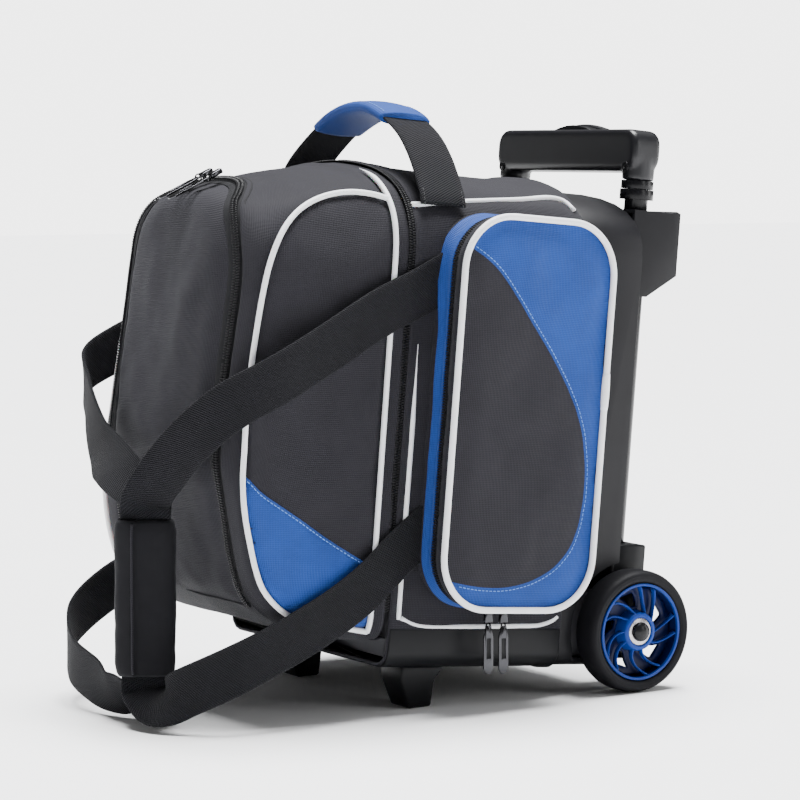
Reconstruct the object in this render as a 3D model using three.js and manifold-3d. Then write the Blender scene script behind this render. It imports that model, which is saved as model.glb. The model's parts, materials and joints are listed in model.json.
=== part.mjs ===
// A one-ball roller bag for bowling: a soft-sided ball compartment on a moulded tray and back shell,
// two wheels, a two-stage pull handle, a hinged front door with a shoe pocket, two side pockets,
// a top carry handle and two carry straps joined by a hook-and-loop wrap.
//
// Millimetres, +Z up, the floor at z = 0, the front of the bag towards -Y. The bag stands leaning
// back on its wheels and front feet. Its own pieces are modelled upright in the bag's frame, whose
// y = 0 and z = WHEEL_RADIUS are the axle, and the frame is then tilted about that axle.
import * as THREE from "three";
import { mergeVertices } from "three/addons/utils/BufferGeometryUtils.js";
import Module from "manifold-3d";

const wasm = await Module();
wasm.setup();

// ---- Driving dimensions ----------------------------------------------------------------------
const WHEEL_RADIUS = 50;
const LEAN = THREE.MathUtils.degToRad(5);
const AXLE_Y = 177.6; // puts the middle of the object's box over the origin
const GAP = 0.3; // between pieces that touch
const PAST = 9; // how far a cutting solid runs past what it cuts

const HALF_WIDTH = 118.5; // outside of the ball compartment's cloth
const CLOTH = 3.5; // padded cloth wall
const PLASTIC = 2.7; // moulded wall
const BALL_RADIUS = 109.5; // a 216 mm ball with a little room

const TRAY = { front: -231, back: -66.3, bottom: 18, top: 50, half: 121.5, corner: 14 };
const SHELL = { front: -66, back: -11, bottom: 18, half: 120, shoulder: 352, crown: 405, foot: 20 };
const MAIN = { front: -232, bottom: 21.3, shoulder: 340, crown: 412 };
const CRADLE = { half: 104, front: -224, back: -20, top: 80 };
const BALL = { y: -122, z: 34 + BALL_RADIUS };
const ZIP_PLANE = -234.2; // where the door closes on the compartment

const FLAP = { half: 84, foldZ: 250, archZ: 300, top: 388.5, inset: -343 };

const POCKET = { front: -209, back: -66, bottom: 69, top: 376, radius: 42, wall: 2.5 };
const POCKET_X = { root: 122, gusset: 138.2, zip: 142.5, face: 157 };

const HANDLE = { x: 87.5, y: 3 };
const TUBE = [
  { a: 10, b: 12, wall: 1.2, bottom: 62, top: 391.4 }, // fixed
  { a: 8.4, b: 10.4, wall: 1.2, bottom: 64, top: 402 }, // first stage
  { a: 6.8, b: 8.8, wall: 1.2, bottom: 66, top: 432 }, // second stage
];
const COLLAR = {
  first: { a: 11.8, b: 15.2, bottom: 401.5, top: 409.7 },
  second: { a: 11.2, b: 14.6, bottom: 410.3 },
};
const GRIP = { half: 98.3, depth: 14.5, bottom: 424, top: 459, legBottom: 417.2, legA: 11, bevel: 4 };
const BUTTON = { half: 28, depth: 7, floor: 449, top: 463.5, travel: 4 };
const LINK = { depth: 2.8, bottom: 443, top: 447.6, rodRadius: 2.4, rodBottom: 90, stemHalf: 20 };
const SPRING = { radius: 3.6, wire: 0.5, bottom: 434, top: 442.2, turns: 3 };

const WHEEL = { x: 129.75, half: 13.75, rimRadius: 39.7, boreRadius: 11.2, archRadius: 55 };
const RIM = { half: 11, web: 9, hub: 18, barrel: 36.4 };
const WINDOW = { count: 5, inner: 19, middle: 27, outer: 35, sweep: 0.45 }; // sweep in radians
const BEARING = { x: WHEEL.x + 7, half: 3.5 };
const AXLE_RADIUS = 4;
const HOUSING = { inner: 73, outer: 112.5, top: 118 };
const FOOT = { inner: 71.4, outer: 98.7, front: -197.4, back: -176.3, rootFront: -203, rootBack: -163 };

const STRAP = { width: 38, thickness: 2.4 };
const WRAP = { x: 41, y: -401, bottom: 38, top: 159, width: 44, depth: 17, layer: 2.8 };
const CARRY = { y: -205, width: 42, thickness: 2.4, gripHalf: 49, gripTop: 458.6, gripSag: 5.4 };

// ---- Materials -------------------------------------------------------------------------------
const FINISHES = {
  black_fabric: [0x232224, 0.85, 0],
  blue_fabric: [0x2a5fb4, 0.75, 0],
  webbing: [0x1d1d20, 0.8, 0],
  shell_plastic: [0x262628, 0.45, 0],
  plastic: [0x17171a, 0.4, 0],
  tube: [0x101012, 0.3, 0.6],
  zip: [0x151518, 0.7, 0],
  metal: [0xc9c9cc, 0.25, 1],
  rubber: [0x1a1a1c, 0.6, 0],
  rim: [0x1f4fa8, 0.35, 0],
  foam: [0x3a3a3e, 0.95, 0],
};

function material(finish) {
  const [color, roughness, metalness] = FINISHES[finish];
  return new THREE.MeshStandardMaterial({ color, roughness, metalness });
}

function add(group, name, geometry, finish) {
  const mesh = new THREE.Mesh(geometry, material(finish));
  mesh.name = name;
  group.add(mesh);
  return mesh;
}

// ---- Solids ----------------------------------------------------------------------------------
function positionsOnly(geometry) {
  const bare = new THREE.BufferGeometry();
  bare.setAttribute("position", geometry.getAttribute("position").clone());
  if (geometry.index) bare.setIndex(geometry.index.clone());
  return mergeVertices(bare, 1e-4);
}

function solid(geometry) {
  const bare = positionsOnly(geometry);
  const made = new wasm.Manifold(
    new wasm.Mesh({
      numProp: 3,
      vertProperties: bare.attributes.position.array,
      triVerts: new Uint32Array(bare.index.array),
    }),
  );
  return made.volume() < 0 ? solid(flipped(bare)) : made;
}

function shown(manifold) {
  const mesh = manifold.getMesh();
  const geometry = new THREE.BufferGeometry();
  geometry.setAttribute("position", new THREE.BufferAttribute(mesh.vertProperties, 3));
  geometry.setIndex(new THREE.BufferAttribute(mesh.triVerts, 1));
  geometry.computeVertexNormals();
  return geometry;
}

// The same closed surface with its faces turned outwards.
function facingOut(geometry) {
  return shown(solid(geometry));
}

function flipped(geometry) {
  const index = geometry.index.array;
  for (let i = 0; i < index.length; i += 3) {
    [index[i + 1], index[i + 2]] = [index[i + 2], index[i + 1]];
  }
  return geometry;
}

function mirrored(geometry) {
  const copy = positionsOnly(geometry);
  copy.scale(-1, 1, 1);
  return flipped(copy);
}

function union(...parts) {
  return parts.reduce((whole, part) => whole.add(part));
}

function box(x0, x1, y0, y1, z0, z1) {
  const geometry = new THREE.BoxGeometry(x1 - x0, y1 - y0, z1 - z0);
  return geometry.translate((x0 + x1) / 2, (y0 + y1) / 2, (z0 + z1) / 2);
}

const AXES = {
  x: [new THREE.Vector3(0, 1, 0), new THREE.Vector3(0, 0, 1), new THREE.Vector3(1, 0, 0)],
  y: [new THREE.Vector3(0, 0, 1), new THREE.Vector3(1, 0, 0), new THREE.Vector3(0, 1, 0)],
  z: [new THREE.Vector3(1, 0, 0), new THREE.Vector3(0, 1, 0), new THREE.Vector3(0, 0, 1)],
};

// A shape drawn in (y, z), (z, x) or (x, y), pulled along the named axis from one place to another.
function prism(shape, axis, from, to, curveSegments = 6) {
  const options = { depth: to - from, bevelEnabled: false, curveSegments };
  const geometry = new THREE.ExtrudeGeometry(shape, options);
  geometry.translate(0, 0, from);
  return geometry.applyMatrix4(new THREE.Matrix4().makeBasis(...AXES[axis]));
}

function polygon(points) {
  return new THREE.Shape(points.map(([a, b]) => new THREE.Vector2(a, b)));
}

function roundedRect(a0, a1, b0, b1, radius) {
  const shape = new THREE.Shape();
  shape.moveTo(a0 + radius, b0);
  shape.lineTo(a1 - radius, b0);
  shape.absarc(a1 - radius, b0 + radius, radius, -Math.PI / 2, 0, false);
  shape.lineTo(a1, b1 - radius);
  shape.absarc(a1 - radius, b1 - radius, radius, 0, Math.PI / 2, false);
  shape.lineTo(a0 + radius, b1);
  shape.absarc(a0 + radius, b1 - radius, radius, Math.PI / 2, Math.PI, false);
  shape.lineTo(a0, b0 + radius);
  shape.absarc(a0 + radius, b0 + radius, radius, Math.PI, Math.PI * 1.5, false);
  return shape;
}

function ellipse(a, b, centre = [0, 0]) {
  const shape = new THREE.Shape();
  shape.absellipse(centre[0], centre[1], a, b, 0, Math.PI * 2, false);
  return shape;
}

// A closed skin through rings of equal length, capped at both ends.
function loft(rings) {
  const count = rings[0].length;
  const points = rings.flat();
  const faces = [];
  for (let r = 0; r + 1 < rings.length; r++) {
    for (let i = 0; i < count; i++) {
      const a = r * count + i;
      const b = r * count + ((i + 1) % count);
      faces.push(a, b, b + count, a, b + count, a + count);
    }
  }
  [0, rings.length - 1].forEach((r) => {
    const centre = new THREE.Vector3();
    rings[r].forEach((p) => centre.add(p));
    points.push(centre.divideScalar(count));
    for (let i = 0; i < count; i++) {
      const a = r * count + i;
      const b = r * count + ((i + 1) % count);
      faces.push(points.length - 1, ...(r === 0 ? [b, a] : [a, b]));
    }
  });
  const geometry = new THREE.BufferGeometry().setFromPoints(points);
  geometry.setIndex(faces);
  return facingOut(geometry);
}

// ---- The bag's cross-sections, looking along Y -------------------------------------------------
// Straight sides, small lower corners, and a top that rounds over and rises to a crown.
function section({ half, bottom, shoulder, crown, inset = 0, foot = 14, topHalf = half }) {
  const w = half - inset;
  const t = topHalf - inset;
  const low = bottom + inset;
  const high = crown - inset;
  const rise = crown - shoulder;
  const corner = Math.max(foot - inset, 2);
  const shape = new THREE.Shape();
  shape.moveTo(low, 0);
  shape.lineTo(low, w - corner);
  shape.quadraticCurveTo(low, w, low + corner, w);
  shape.lineTo(shoulder, t);
  shape.bezierCurveTo(shoulder + rise * 0.62, t, high - 1, t * 0.76, high, 0);
  shape.bezierCurveTo(high - 1, -t * 0.76, shoulder + rise * 0.62, -t, shoulder, -t);
  shape.lineTo(low + corner, -w);
  shape.quadraticCurveTo(low, -w, low, corner - w);
  return shape;
}

// The same outline as a ring of points at one y.
function ring(shape, y, count = 44) {
  const points = shape.getSpacedPoints(count).slice(0, count);
  return points.map((p) => new THREE.Vector3(p.y, y, p.x));
}

const MAIN_SECTION = {
  half: HALF_WIDTH,
  bottom: MAIN.bottom,
  shoulder: MAIN.shoulder,
  crown: MAIN.crown,
};

// ---- Frames ------------------------------------------------------------------------------------
const object = new THREE.Group();
const ground = new THREE.Group(); // upright, with the axle over its y = 0
ground.position.y = AXLE_Y;
const tilt = new THREE.Group();
tilt.position.z = WHEEL_RADIUS;
tilt.rotation.x = -LEAN;
const bag = new THREE.Group();
bag.position.z = -WHEEL_RADIUS;
tilt.add(bag);
ground.add(tilt);
object.add(ground);

// A point of the upright frame in the bag's frame.
function inBag(x, y, z) {
  const dz = z - WHEEL_RADIUS;
  const turnedY = y * Math.cos(LEAN) - dz * Math.sin(LEAN);
  const turnedZ = y * Math.sin(LEAN) + dz * Math.cos(LEAN);
  return new THREE.Vector3(x, turnedY, turnedZ + WHEEL_RADIUS);
}

// ---- Tray, back shell and ball compartment -----------------------------------------------------
function baseTray() {
  const { front, back, bottom, top, half, corner } = TRAY;
  const closed = top + 2 * corner; // the outline closes above the rim and is cut off at the rim
  const outline = (inset) => roundedRect(bottom + inset, closed, inset - half, half - inset, corner - inset);
  const outside = solid(prism(outline(0), "y", front, back));
  const inside = solid(prism(outline(PLASTIC), "y", front - PAST, back + PAST));
  const above = solid(box(-half - PAST, half + PAST, front - PAST, back + PAST, top, closed + PAST));
  return outside.subtract(inside).subtract(above);
}

function backShell() {
  const { front, back } = SHELL;
  const outside = solid(prism(section(SHELL), "y", front, back, 8));
  const hollow = section({ ...SHELL, inset: PLASTIC });
  const inside = solid(prism(hollow, "y", front - PAST, back - PLASTIC, 8));
  const arch = new THREE.CylinderGeometry(WHEEL.archRadius, WHEEL.archRadius, 40, 32);
  arch.rotateZ(Math.PI / 2).translate(WHEEL.x + 3.5, 0, WHEEL_RADIUS);
  return outside.subtract(inside).subtract(solid(arch)).subtract(solid(mirrored(arch)));
}

function mainShell() {
  const outside = solid(prism(section(MAIN_SECTION), "y", MAIN.front, TRAY.back, 8));
  const hollow = section({ ...MAIN_SECTION, inset: CLOTH });
  return outside.subtract(solid(prism(hollow, "y", MAIN.front - PAST, TRAY.back + PAST, 8)));
}

function ballCradle() {
  const { half, front, back, top } = CRADLE;
  const block = box(-half, half, front, back, MAIN.bottom + CLOTH + GAP, top);
  const ball = new THREE.SphereGeometry(BALL_RADIUS, 28, 18);
  ball.rotateX(Math.PI / 2).translate(0, BALL.y, BALL.z);
  return solid(block).subtract(solid(ball));
}

// A foot that stands flat on the floor and flares into the leaning tray above it.
function foot() {
  const { inner, outer, front, back, rootFront, rootBack } = FOOT;
  const corners = [[inner, front], [outer, front], [outer, back], [inner, back]];
  const sole = corners.map(([x, y]) => inBag(x, y, 0));
  const top = TRAY.bottom - GAP;
  const ringAt = (grow, rear, z) => [
    new THREE.Vector3(inner - grow, rootFront, z),
    new THREE.Vector3(outer + grow, rootFront, z),
    new THREE.Vector3(outer + grow, rear, z),
    new THREE.Vector3(inner - grow, rear, z),
  ];
  return loft([sole, ringAt(1.5, rootBack - 8, top - 12), ringAt(2.5, rootBack, top)]);
}

add(bag, "base_tray", shown(baseTray()), "plastic");
add(bag, "back_shell", shown(backShell()), "shell_plastic");
add(bag, "main_shell", shown(mainShell()), "black_fabric");
add(bag, "ball_cradle", shown(ballCradle()), "foam");
add(bag, "foot_right", foot(), "plastic");
add(bag, "foot_left", mirrored(foot()), "plastic");

// ---- Wheels, axle and their housings -----------------------------------------------------------
function latheAlongX(profile, x, segments) {
  const points = profile.map(([r, along]) => new THREE.Vector2(r, along));
  const geometry = new THREE.LatheGeometry(points, segments);
  return facingOut(geometry.rotateZ(-Math.PI / 2).translate(x, 0, WHEEL_RADIUS));
}

function tyre() {
  const { half, rimRadius } = WHEEL;
  const inner = rimRadius + GAP;
  const side = [[inner, half - 2], [45.5, half], [48.8, half - 3.2], [WHEEL_RADIUS, half - 8.5]];
  const mirroredSide = side.map(([r, along]) => [r, -along]).reverse();
  return latheAlongX([...side, ...mirroredSide, side[0]], WHEEL.x, 44);
}

// A barrel and a hub joined by a web with curved windows, between which run the spokes.
function rim() {
  const disc = ellipse(WHEEL.rimRadius, WHEEL.rimRadius, [0, WHEEL_RADIUS]);
  const web = solid(prism(disc, "x", WHEEL.x - RIM.half, WHEEL.x + RIM.half, 20));
  const bore = ellipse(WHEEL.boreRadius + GAP, WHEEL.boreRadius + GAP, [0, WHEEL_RADIUS]);
  const { hub, barrel, web: deep } = RIM;
  const dishProfile = [[hub, -deep], [barrel, -deep], [barrel, deep], [hub, deep], [hub, -deep]];
  const dish = latheAlongX(dishProfile, WHEEL.x + deep, 32);
  let whole = web.subtract(solid(prism(bore, "x", WHEEL.x - 20, WHEEL.x + 20, 12)));
  whole = whole.subtract(solid(dish));
  for (let i = 0; i < WINDOW.count; i++) {
    const shape = polygon(windowOutline((i / WINDOW.count) * Math.PI * 2));
    whole = whole.subtract(solid(prism(shape, "x", WHEEL.x - 20, WHEEL.x + 20)));
  }
  return whole;
}

// A window starts narrow at the hub and leads round as it goes out.
function windowOutline(start) {
  const { inner, middle, outer, sweep } = WINDOW;
  const at = (r, turn) => [r * Math.cos(start + turn), WHEEL_RADIUS + r * Math.sin(start + turn)];
  const leading = [at(inner, 0), at(middle, sweep / 2), at(outer, sweep)];
  const trailing = [at(outer, sweep + 0.42), at(middle, sweep / 2 + 0.5), at(inner, 0.5)];
  return [...leading, ...trailing];
}

function bearing() {
  const { half } = BEARING;
  const inner = AXLE_RADIUS + GAP;
  const outer = WHEEL.boreRadius;
  const profile = [[inner, -half], [outer, -half], [outer, half], [inner, half], [inner, -half]];
  return latheAlongX(profile, BEARING.x, 20);
}

function axle() {
  const cap = BEARING.x + BEARING.half + GAP;
  const half = [[AXLE_RADIUS, cap], [8, cap], [7.6, cap + 2.6], [5, cap + 4.6], [0, cap + 5.4]];
  const other = half.map(([r, along]) => [r, -along]).reverse();
  return latheAlongX([...other, ...half], 0, 18);
}

function wheelHousing() {
  const { inner, outer, top } = HOUSING;
  const outline = [[-10.6, 24], [12, 24], [21, 34], [21, top], [-10.6, top]];
  const socket = prism(ellipse(TUBE[0].a + GAP, TUBE[0].b + GAP), "z", TUBE[0].bottom - 2, top + PAST, 10);
  socket.translate(HANDLE.x, HANDLE.y, 0);
  const bore = ellipse(AXLE_RADIUS + GAP, AXLE_RADIUS + GAP, [0, WHEEL_RADIUS]);
  const hole = prism(bore, "x", inner - PAST, outer + PAST);
  return solid(prism(polygon(outline), "x", inner, outer)).subtract(solid(socket)).subtract(solid(hole));
}

add(bag, "axle", axle(), "plastic");
for (const [side, place] of [["right", (g) => g], ["left", mirrored]]) {
  add(bag, `wheel_housing_${side}`, place(shown(wheelHousing())), "plastic");
  add(bag, `tyre_${side}`, place(tyre()), "rubber");
  add(bag, `rim_${side}`, place(shown(rim())), "rim");
  add(bag, `bearing_${side}`, place(bearing()), "metal");
}

// ---- Pull handle -------------------------------------------------------------------------------
function tube({ a, b, wall, bottom, top }) {
  const shape = ellipse(a, b);
  shape.holes.push(ellipse(a - wall, b - wall));
  return prism(shape, "z", bottom, top, 8).translate(HANDLE.x, HANDLE.y, 0);
}

function collar(a, b, inner, bottom, top) {
  const shape = ellipse(a, b);
  shape.holes.push(ellipse(inner.a + GAP, inner.b + GAP));
  return prism(shape, "z", bottom, top, 8).translate(HANDLE.x, HANDLE.y, 0);
}

// The first stage ends in a collar that the second stage slides through.
function firstStage() {
  const { a, b, bottom, top } = COLLAR.first;
  return union(solid(tube(TUBE[1])), solid(collar(a, b, TUBE[2], bottom, top)));
}

function secondStage() {
  const { a, b, bottom } = COLLAR.second;
  const held = { a: TUBE[2].a - 1, b: TUBE[2].b - 1 };
  return union(solid(tube(TUBE[2])), solid(collar(a, b, held, bottom, GRIP.legBottom - GAP)));
}

function handleHousing() {
  const outer = [[-10.6, 322], [7.5, 322], [37, 341], [37, 392.5], [33, 394], [28, 392], [-10.6, 392.6]];
  const inner = [[-20, 325], [6.5, 325], [34, 342.5], [34, 389], [-20, 389.6]];
  const cover = solid(prism(polygon(outer), "x", -105, 105));
  const hollow = solid(prism(polygon(inner), "x", -102, 102));
  const tubeHole = prism(ellipse(TUBE[0].a + GAP, TUBE[0].b + GAP), "z", 300, 420, 10);
  tubeHole.translate(HANDLE.x, HANDLE.y, 0);
  return cover.subtract(hollow).subtract(solid(tubeHole)).subtract(solid(mirrored(tubeHole)));
}

function grip() {
  const { half, depth, bottom, top, legBottom, legA, bevel } = GRIP;
  const { half: reach, depth: button, floor, travel } = BUTTON;
  const outline = roundedRect(bottom + bevel, top - bevel, -half + bevel, half - bevel, 9);
  const options = { depth: 2 * (depth - bevel), bevelSize: bevel, bevelThickness: bevel, bevelSegments: 2 };
  const bar = new THREE.ExtrudeGeometry(outline, { ...options, curveSegments: 4 });
  bar.translate(0, 0, bevel - depth).applyMatrix4(new THREE.Matrix4().makeBasis(...AXES.y));
  const leg = prism(ellipse(legA, depth), "z", legBottom, bottom + 12, 8).translate(HANDLE.x, 0, 0);
  const socket = prism(ellipse(TUBE[2].a + GAP, TUBE[2].b + GAP), "z", legBottom - PAST, TUBE[2].top + 1, 8);
  socket.translate(HANDLE.x, 0, 0);
  const well = box(-reach - GAP, reach + GAP, -button - GAP, button + GAP, floor - travel - 2, top + PAST);
  const slot = LINK.depth + 0.5;
  const duct = box(-HANDLE.x - 4, HANDLE.x + 4, -slot, slot, TUBE[2].top - 1, floor - 1);
  const springWell = box(-6, 6, -6, 6, SPRING.bottom - 1, floor);
  let whole = union(solid(bar), solid(leg), solid(mirrored(leg)));
  for (const cut of [socket, mirrored(socket), well, duct, springWell]) {
    whole = whole.subtract(solid(cut));
  }
  return shown(whole).translate(0, HANDLE.y, 0);
}

// The button's top is a shallow arc that stands proud of the grip.
function releaseButton() {
  const { half, depth, floor, top } = BUTTON;
  const shape = new THREE.Shape();
  shape.moveTo(floor, -half);
  shape.lineTo(floor, half);
  shape.lineTo(GRIP.top - 0.5, half);
  shape.quadraticCurveTo(2 * top - GRIP.top, 0, GRIP.top - 0.5, -half);
  return prism(shape, "y", -depth, depth, 6).translate(0, HANDLE.y, 0);
}

// A cross bar under the button carries a rod down each tube to the stage locks.
function releaseLinkage() {
  const { depth, bottom, top, rodRadius, rodBottom, stemHalf } = LINK;
  const bar = box(-HANDLE.x - 3, HANDLE.x + 3, -depth, depth, bottom, top);
  const rod = prism(ellipse(rodRadius, rodRadius), "z", rodBottom, bottom + 3, 5).translate(HANDLE.x, 0, 0);
  const stem = box(-stemHalf, stemHalf, -depth, depth, bottom + 3, BUTTON.floor - GAP);
  const whole = union(solid(bar), solid(rod), solid(mirrored(rod)), solid(stem));
  return shown(whole).translate(0, HANDLE.y, 0);
}

class Helix extends THREE.Curve {
  constructor(radius, bottom, top, turns) {
    super();
    Object.assign(this, { radius, bottom, top, turns });
  }
  getPoint(t, target = new THREE.Vector3()) {
    const angle = t * this.turns * Math.PI * 2;
    const z = this.bottom + t * (this.top - this.bottom);
    return target.set(this.radius * Math.cos(angle), this.radius * Math.sin(angle), z);
  }
}

function buttonSpring() {
  const { radius, wire, bottom, top, turns } = SPRING;
  const path = new Helix(radius, bottom, top, turns);
  const options = { steps: 8 * turns, extrudePath: path, curveSegments: 3 };
  const geometry = new THREE.ExtrudeGeometry(ellipse(wire, wire), options);
  return geometry.translate(0, HANDLE.y, 0);
}

add(bag, "handle_housing", shown(handleHousing()), "shell_plastic");
add(bag, "grip", grip(), "plastic");
add(bag, "release_button", releaseButton(), "plastic");
add(bag, "release_linkage", releaseLinkage(), "metal");
add(bag, "button_spring", buttonSpring(), "metal");
for (const [side, place] of [["right", (g) => g], ["left", mirrored]]) {
  add(bag, `outer_tube_${side}`, place(tube(TUBE[0])), "tube");
  add(bag, `stage_one_${side}`, place(shown(firstStage())), "tube");
  add(bag, `stage_two_${side}`, place(shown(secondStage())), "tube");
}

// ---- Front door, its shoe pocket and the zips --------------------------------------------------
// Rings from the zip plane to the front: y, half width, half width at the shoulder, bottom, crown.
const DOOR_RINGS = [
  [ZIP_PLANE - 2.1, 120, 119, 38, 411],
  [-270, 121, 118, 42, 410],
  [-310, 121, 115, 48, 401],
  [-345, 121, 111, 56, 388],
  [-368, 119, 106, 64, 377],
  [-377, 114, 100, 74, 364],
  [-382, 96, 84, 100, 342],
  [-385, 60, 54, 150, 300],
];

function doorRings(inset) {
  return DOOR_RINGS.map(([y, half, topHalf, bottom, crown]) => {
    const shoulder = crown - (crown - bottom) * 0.2;
    const shape = section({ half, topHalf, bottom, crown, shoulder, inset, foot: 22 });
    return ring(shape, y + inset);
  });
}

// The zip's path on the front face: straight up both sides and over the top in an arch.
function archOutline(half, bottom, top) {
  const shape = new THREE.Shape();
  const rise = top - FLAP.archZ;
  shape.moveTo(bottom, -half);
  shape.lineTo(bottom, half);
  shape.lineTo(FLAP.archZ, half);
  const steps = 10;
  for (let i = 1; i < steps; i++) {
    const angle = (i / steps) * Math.PI;
    const across = Math.sign(Math.cos(angle)) * Math.abs(Math.cos(angle)) ** 0.8;
    shape.lineTo(FLAP.archZ + rise * Math.sin(angle) ** 0.8, half * across);
  }
  shape.lineTo(FLAP.archZ, -half);
  return shape;
}

function frontCutter(half, bottom, top) {
  return solid(prism(archOutline(half, bottom, top), "y", -420, FLAP.inset));
}

const zipWidth = 4;
const doorFloor = 20; // below the door's lowest edge
const doorWall = solid(loft(doorRings(0))).subtract(solid(loft(doorRings(CLOTH))));
const zipOuter = frontCutter(FLAP.half + zipWidth, doorFloor, FLAP.top + zipWidth);
const zipCutter = frontCutter(FLAP.half + zipWidth - GAP, doorFloor, FLAP.top + zipWidth - GAP);
const zipInner = frontCutter(FLAP.half, doorFloor, FLAP.top);
const panelCutter = frontCutter(FLAP.half - GAP, doorFloor, FLAP.top - GAP);
const aboveFold = solid(box(-200, 200, -430, -300, FLAP.foldZ + GAP, 430));
const belowFold = solid(box(-200, 200, -430, -300, 0, FLAP.foldZ - GAP));

add(bag, "door_shell", shown(doorWall.subtract(zipOuter)), "black_fabric");
add(bag, "front_zip", shown(doorWall.intersect(zipCutter).subtract(zipInner)), "zip");
add(bag, "front_panel", shown(doorWall.intersect(panelCutter).intersect(belowFold)), "black_fabric");
add(bag, "front_flap", shown(doorWall.intersect(panelCutter).intersect(aboveFold)), "black_fabric");

// One side of the main zip: a strip that follows the compartment's edge, open along the bottom.
function mainZip(y0, y1) {
  const outside = solid(prism(section(MAIN_SECTION), "y", y0, y1, 8));
  const inner = section({ ...MAIN_SECTION, inset: CLOTH });
  const hollow = solid(prism(inner, "y", y0 - PAST, y1 + PAST, 8));
  const below = solid(box(-200, 200, y0 - PAST, y1 + PAST, 0, 60));
  return outside.subtract(hollow).subtract(below);
}

add(bag, "main_zip_bag", shown(mainZip(ZIP_PLANE + GAP / 2, MAIN.front - GAP)), "zip");
add(bag, "main_zip_door", shown(mainZip(ZIP_PLANE - 1.8, ZIP_PLANE - GAP / 2)), "zip");

// ---- Side pockets ------------------------------------------------------------------------------
function pocketOutline(inset = 0) {
  const { front, back, bottom, top, radius } = POCKET;
  return roundedRect(front + inset, back - inset, bottom + inset, top - inset, radius - inset);
}

function pocketTray(x0, x1, floorAtOutside) {
  const { wall } = POCKET;
  const [cut0, cut1] = floorAtOutside ? [x0 - PAST, x1 - wall] : [x0 + wall, x1 + PAST];
  const outside = solid(prism(pocketOutline(), "x", x0, x1));
  return shown(outside.subtract(solid(prism(pocketOutline(wall), "x", cut0, cut1))));
}

function pocketZip() {
  const { gusset, zip } = POCKET_X;
  const outside = solid(prism(pocketOutline(), "x", gusset + GAP, zip - GAP));
  const inside = solid(prism(pocketOutline(POCKET.wall), "x", gusset - PAST, zip + PAST));
  return shown(outside.subtract(inside));
}

for (const [side, place] of [["right", (g) => g], ["left", mirrored]]) {
  add(bag, `pocket_gusset_${side}`, place(pocketTray(POCKET_X.root, POCKET_X.gusset, false)), "blue_fabric");
  add(bag, `pocket_zip_${side}`, place(pocketZip()), "zip");
  add(bag, `pocket_flap_${side}`, place(pocketTray(POCKET_X.zip, POCKET_X.face, true)), "black_fabric");
}

// ---- Zip sliders and their pulls ---------------------------------------------------------------
const SLIDER = { length: 11, width: 8, height: 4, clear: 2.4 }; // clear of the pull's pivot
const PULL = { length: 38, width: 9, thickness: 1.6 };

// Both lie along their group's -Z, face up along +X, with the pull's pivot at the group's origin.
function slider() {
  const { length, width, height, clear } = SLIDER;
  const wide = width / 2;
  const narrow = wide - 1.5;
  const outline = [[-wide, 0], [wide, 0], [narrow, length], [-narrow, length]];
  return prism(polygon(outline), "x", 0, height).translate(-height / 2, 0, clear);
}

function pull() {
  const { length, width, thickness } = PULL;
  const half = width / 2;
  const one = [[-2.5, 0], [-half, -9], [-half, 4 - length], [-2, -length]];
  const other = one.map(([across, down]) => [-across, down]).reverse();
  const shape = polygon([...one, ...other]);
  shape.holes.push(polygon([[-2, -10], [-2, -26], [2, -26], [2, -10]]));
  return prism(shape, "x", -thickness / 2, thickness / 2);
}

// Sets a slider and a pull at a place. The pull lies along one direction and faces another.
function zipEnd(name, place, facing, lying) {
  const x = new THREE.Vector3(...facing);
  const z = new THREE.Vector3(...lying).negate();
  const y = new THREE.Vector3().crossVectors(z, x);
  const end = new THREE.Group();
  end.position.set(...place);
  end.setRotationFromMatrix(new THREE.Matrix4().makeBasis(x, y, z));
  add(end, `${name}_slider`, slider(), "metal");
  add(end, `${name}_pull`, pull(), "metal");
  bag.add(end);
}

const plumb = [0, Math.sin(LEAN), -Math.cos(LEAN)]; // straight down, in the bag's frame
for (const [side, sign] of [["right", 1], ["left", -1]]) {
  const x = sign * ((POCKET_X.gusset + POCKET_X.zip) / 2 + 1.5);
  const z = POCKET.bottom - SLIDER.length - 3;
  zipEnd(`pocket_rear_${side}`, [x, -138, z], [sign, 0, 0], plumb);
  zipEnd(`pocket_front_${side}`, [x, -152.5, z], [sign, 0, 0], plumb);
}

zipEnd("main", [-124.2, ZIP_PLANE, 215], [-1, 0, 0], plumb);

const slope = THREE.MathUtils.degToRad(30); // of the door's top where the front sliders meet
const upSlope = [0, -Math.sin(slope), Math.cos(slope)];
const downSlope = [0, -Math.cos(slope), -Math.sin(slope)];
zipEnd("front_right", [7.5, -357, 389.5], upSlope, downSlope);
zipEnd("front_left", [-7.5, -357, 389.5], upSlope, downSlope);

// ---- Straps ------------------------------------------------------------------------------------
// A flat strap along a curve. Each stop gives the centre line's place and the way its width points.
function ribbon(stops, width, thickness, steps) {
  const centre = new THREE.CatmullRomCurve3(stops.map((s) => new THREE.Vector3(...s.at)));
  const across = new THREE.CatmullRomCurve3(stops.map((s) => new THREE.Vector3(...s.wide)));
  const rings = [];
  for (let i = 0; i <= steps; i++) {
    const t = i / steps;
    const p = centre.getPoint(t);
    const along = centre.getTangent(t);
    const w = across.getPoint(t);
    w.addScaledVector(along, -w.dot(along)).normalize().multiplyScalar(width / 2);
    const n = new THREE.Vector3().crossVectors(along, w).normalize().multiplyScalar(thickness / 2);
    rings.push([
      p.clone().add(w).add(n),
      p.clone().add(w).sub(n),
      p.clone().sub(w).sub(n),
      p.clone().sub(w).add(n),
    ]);
  }
  return loft(rings);
}

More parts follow.
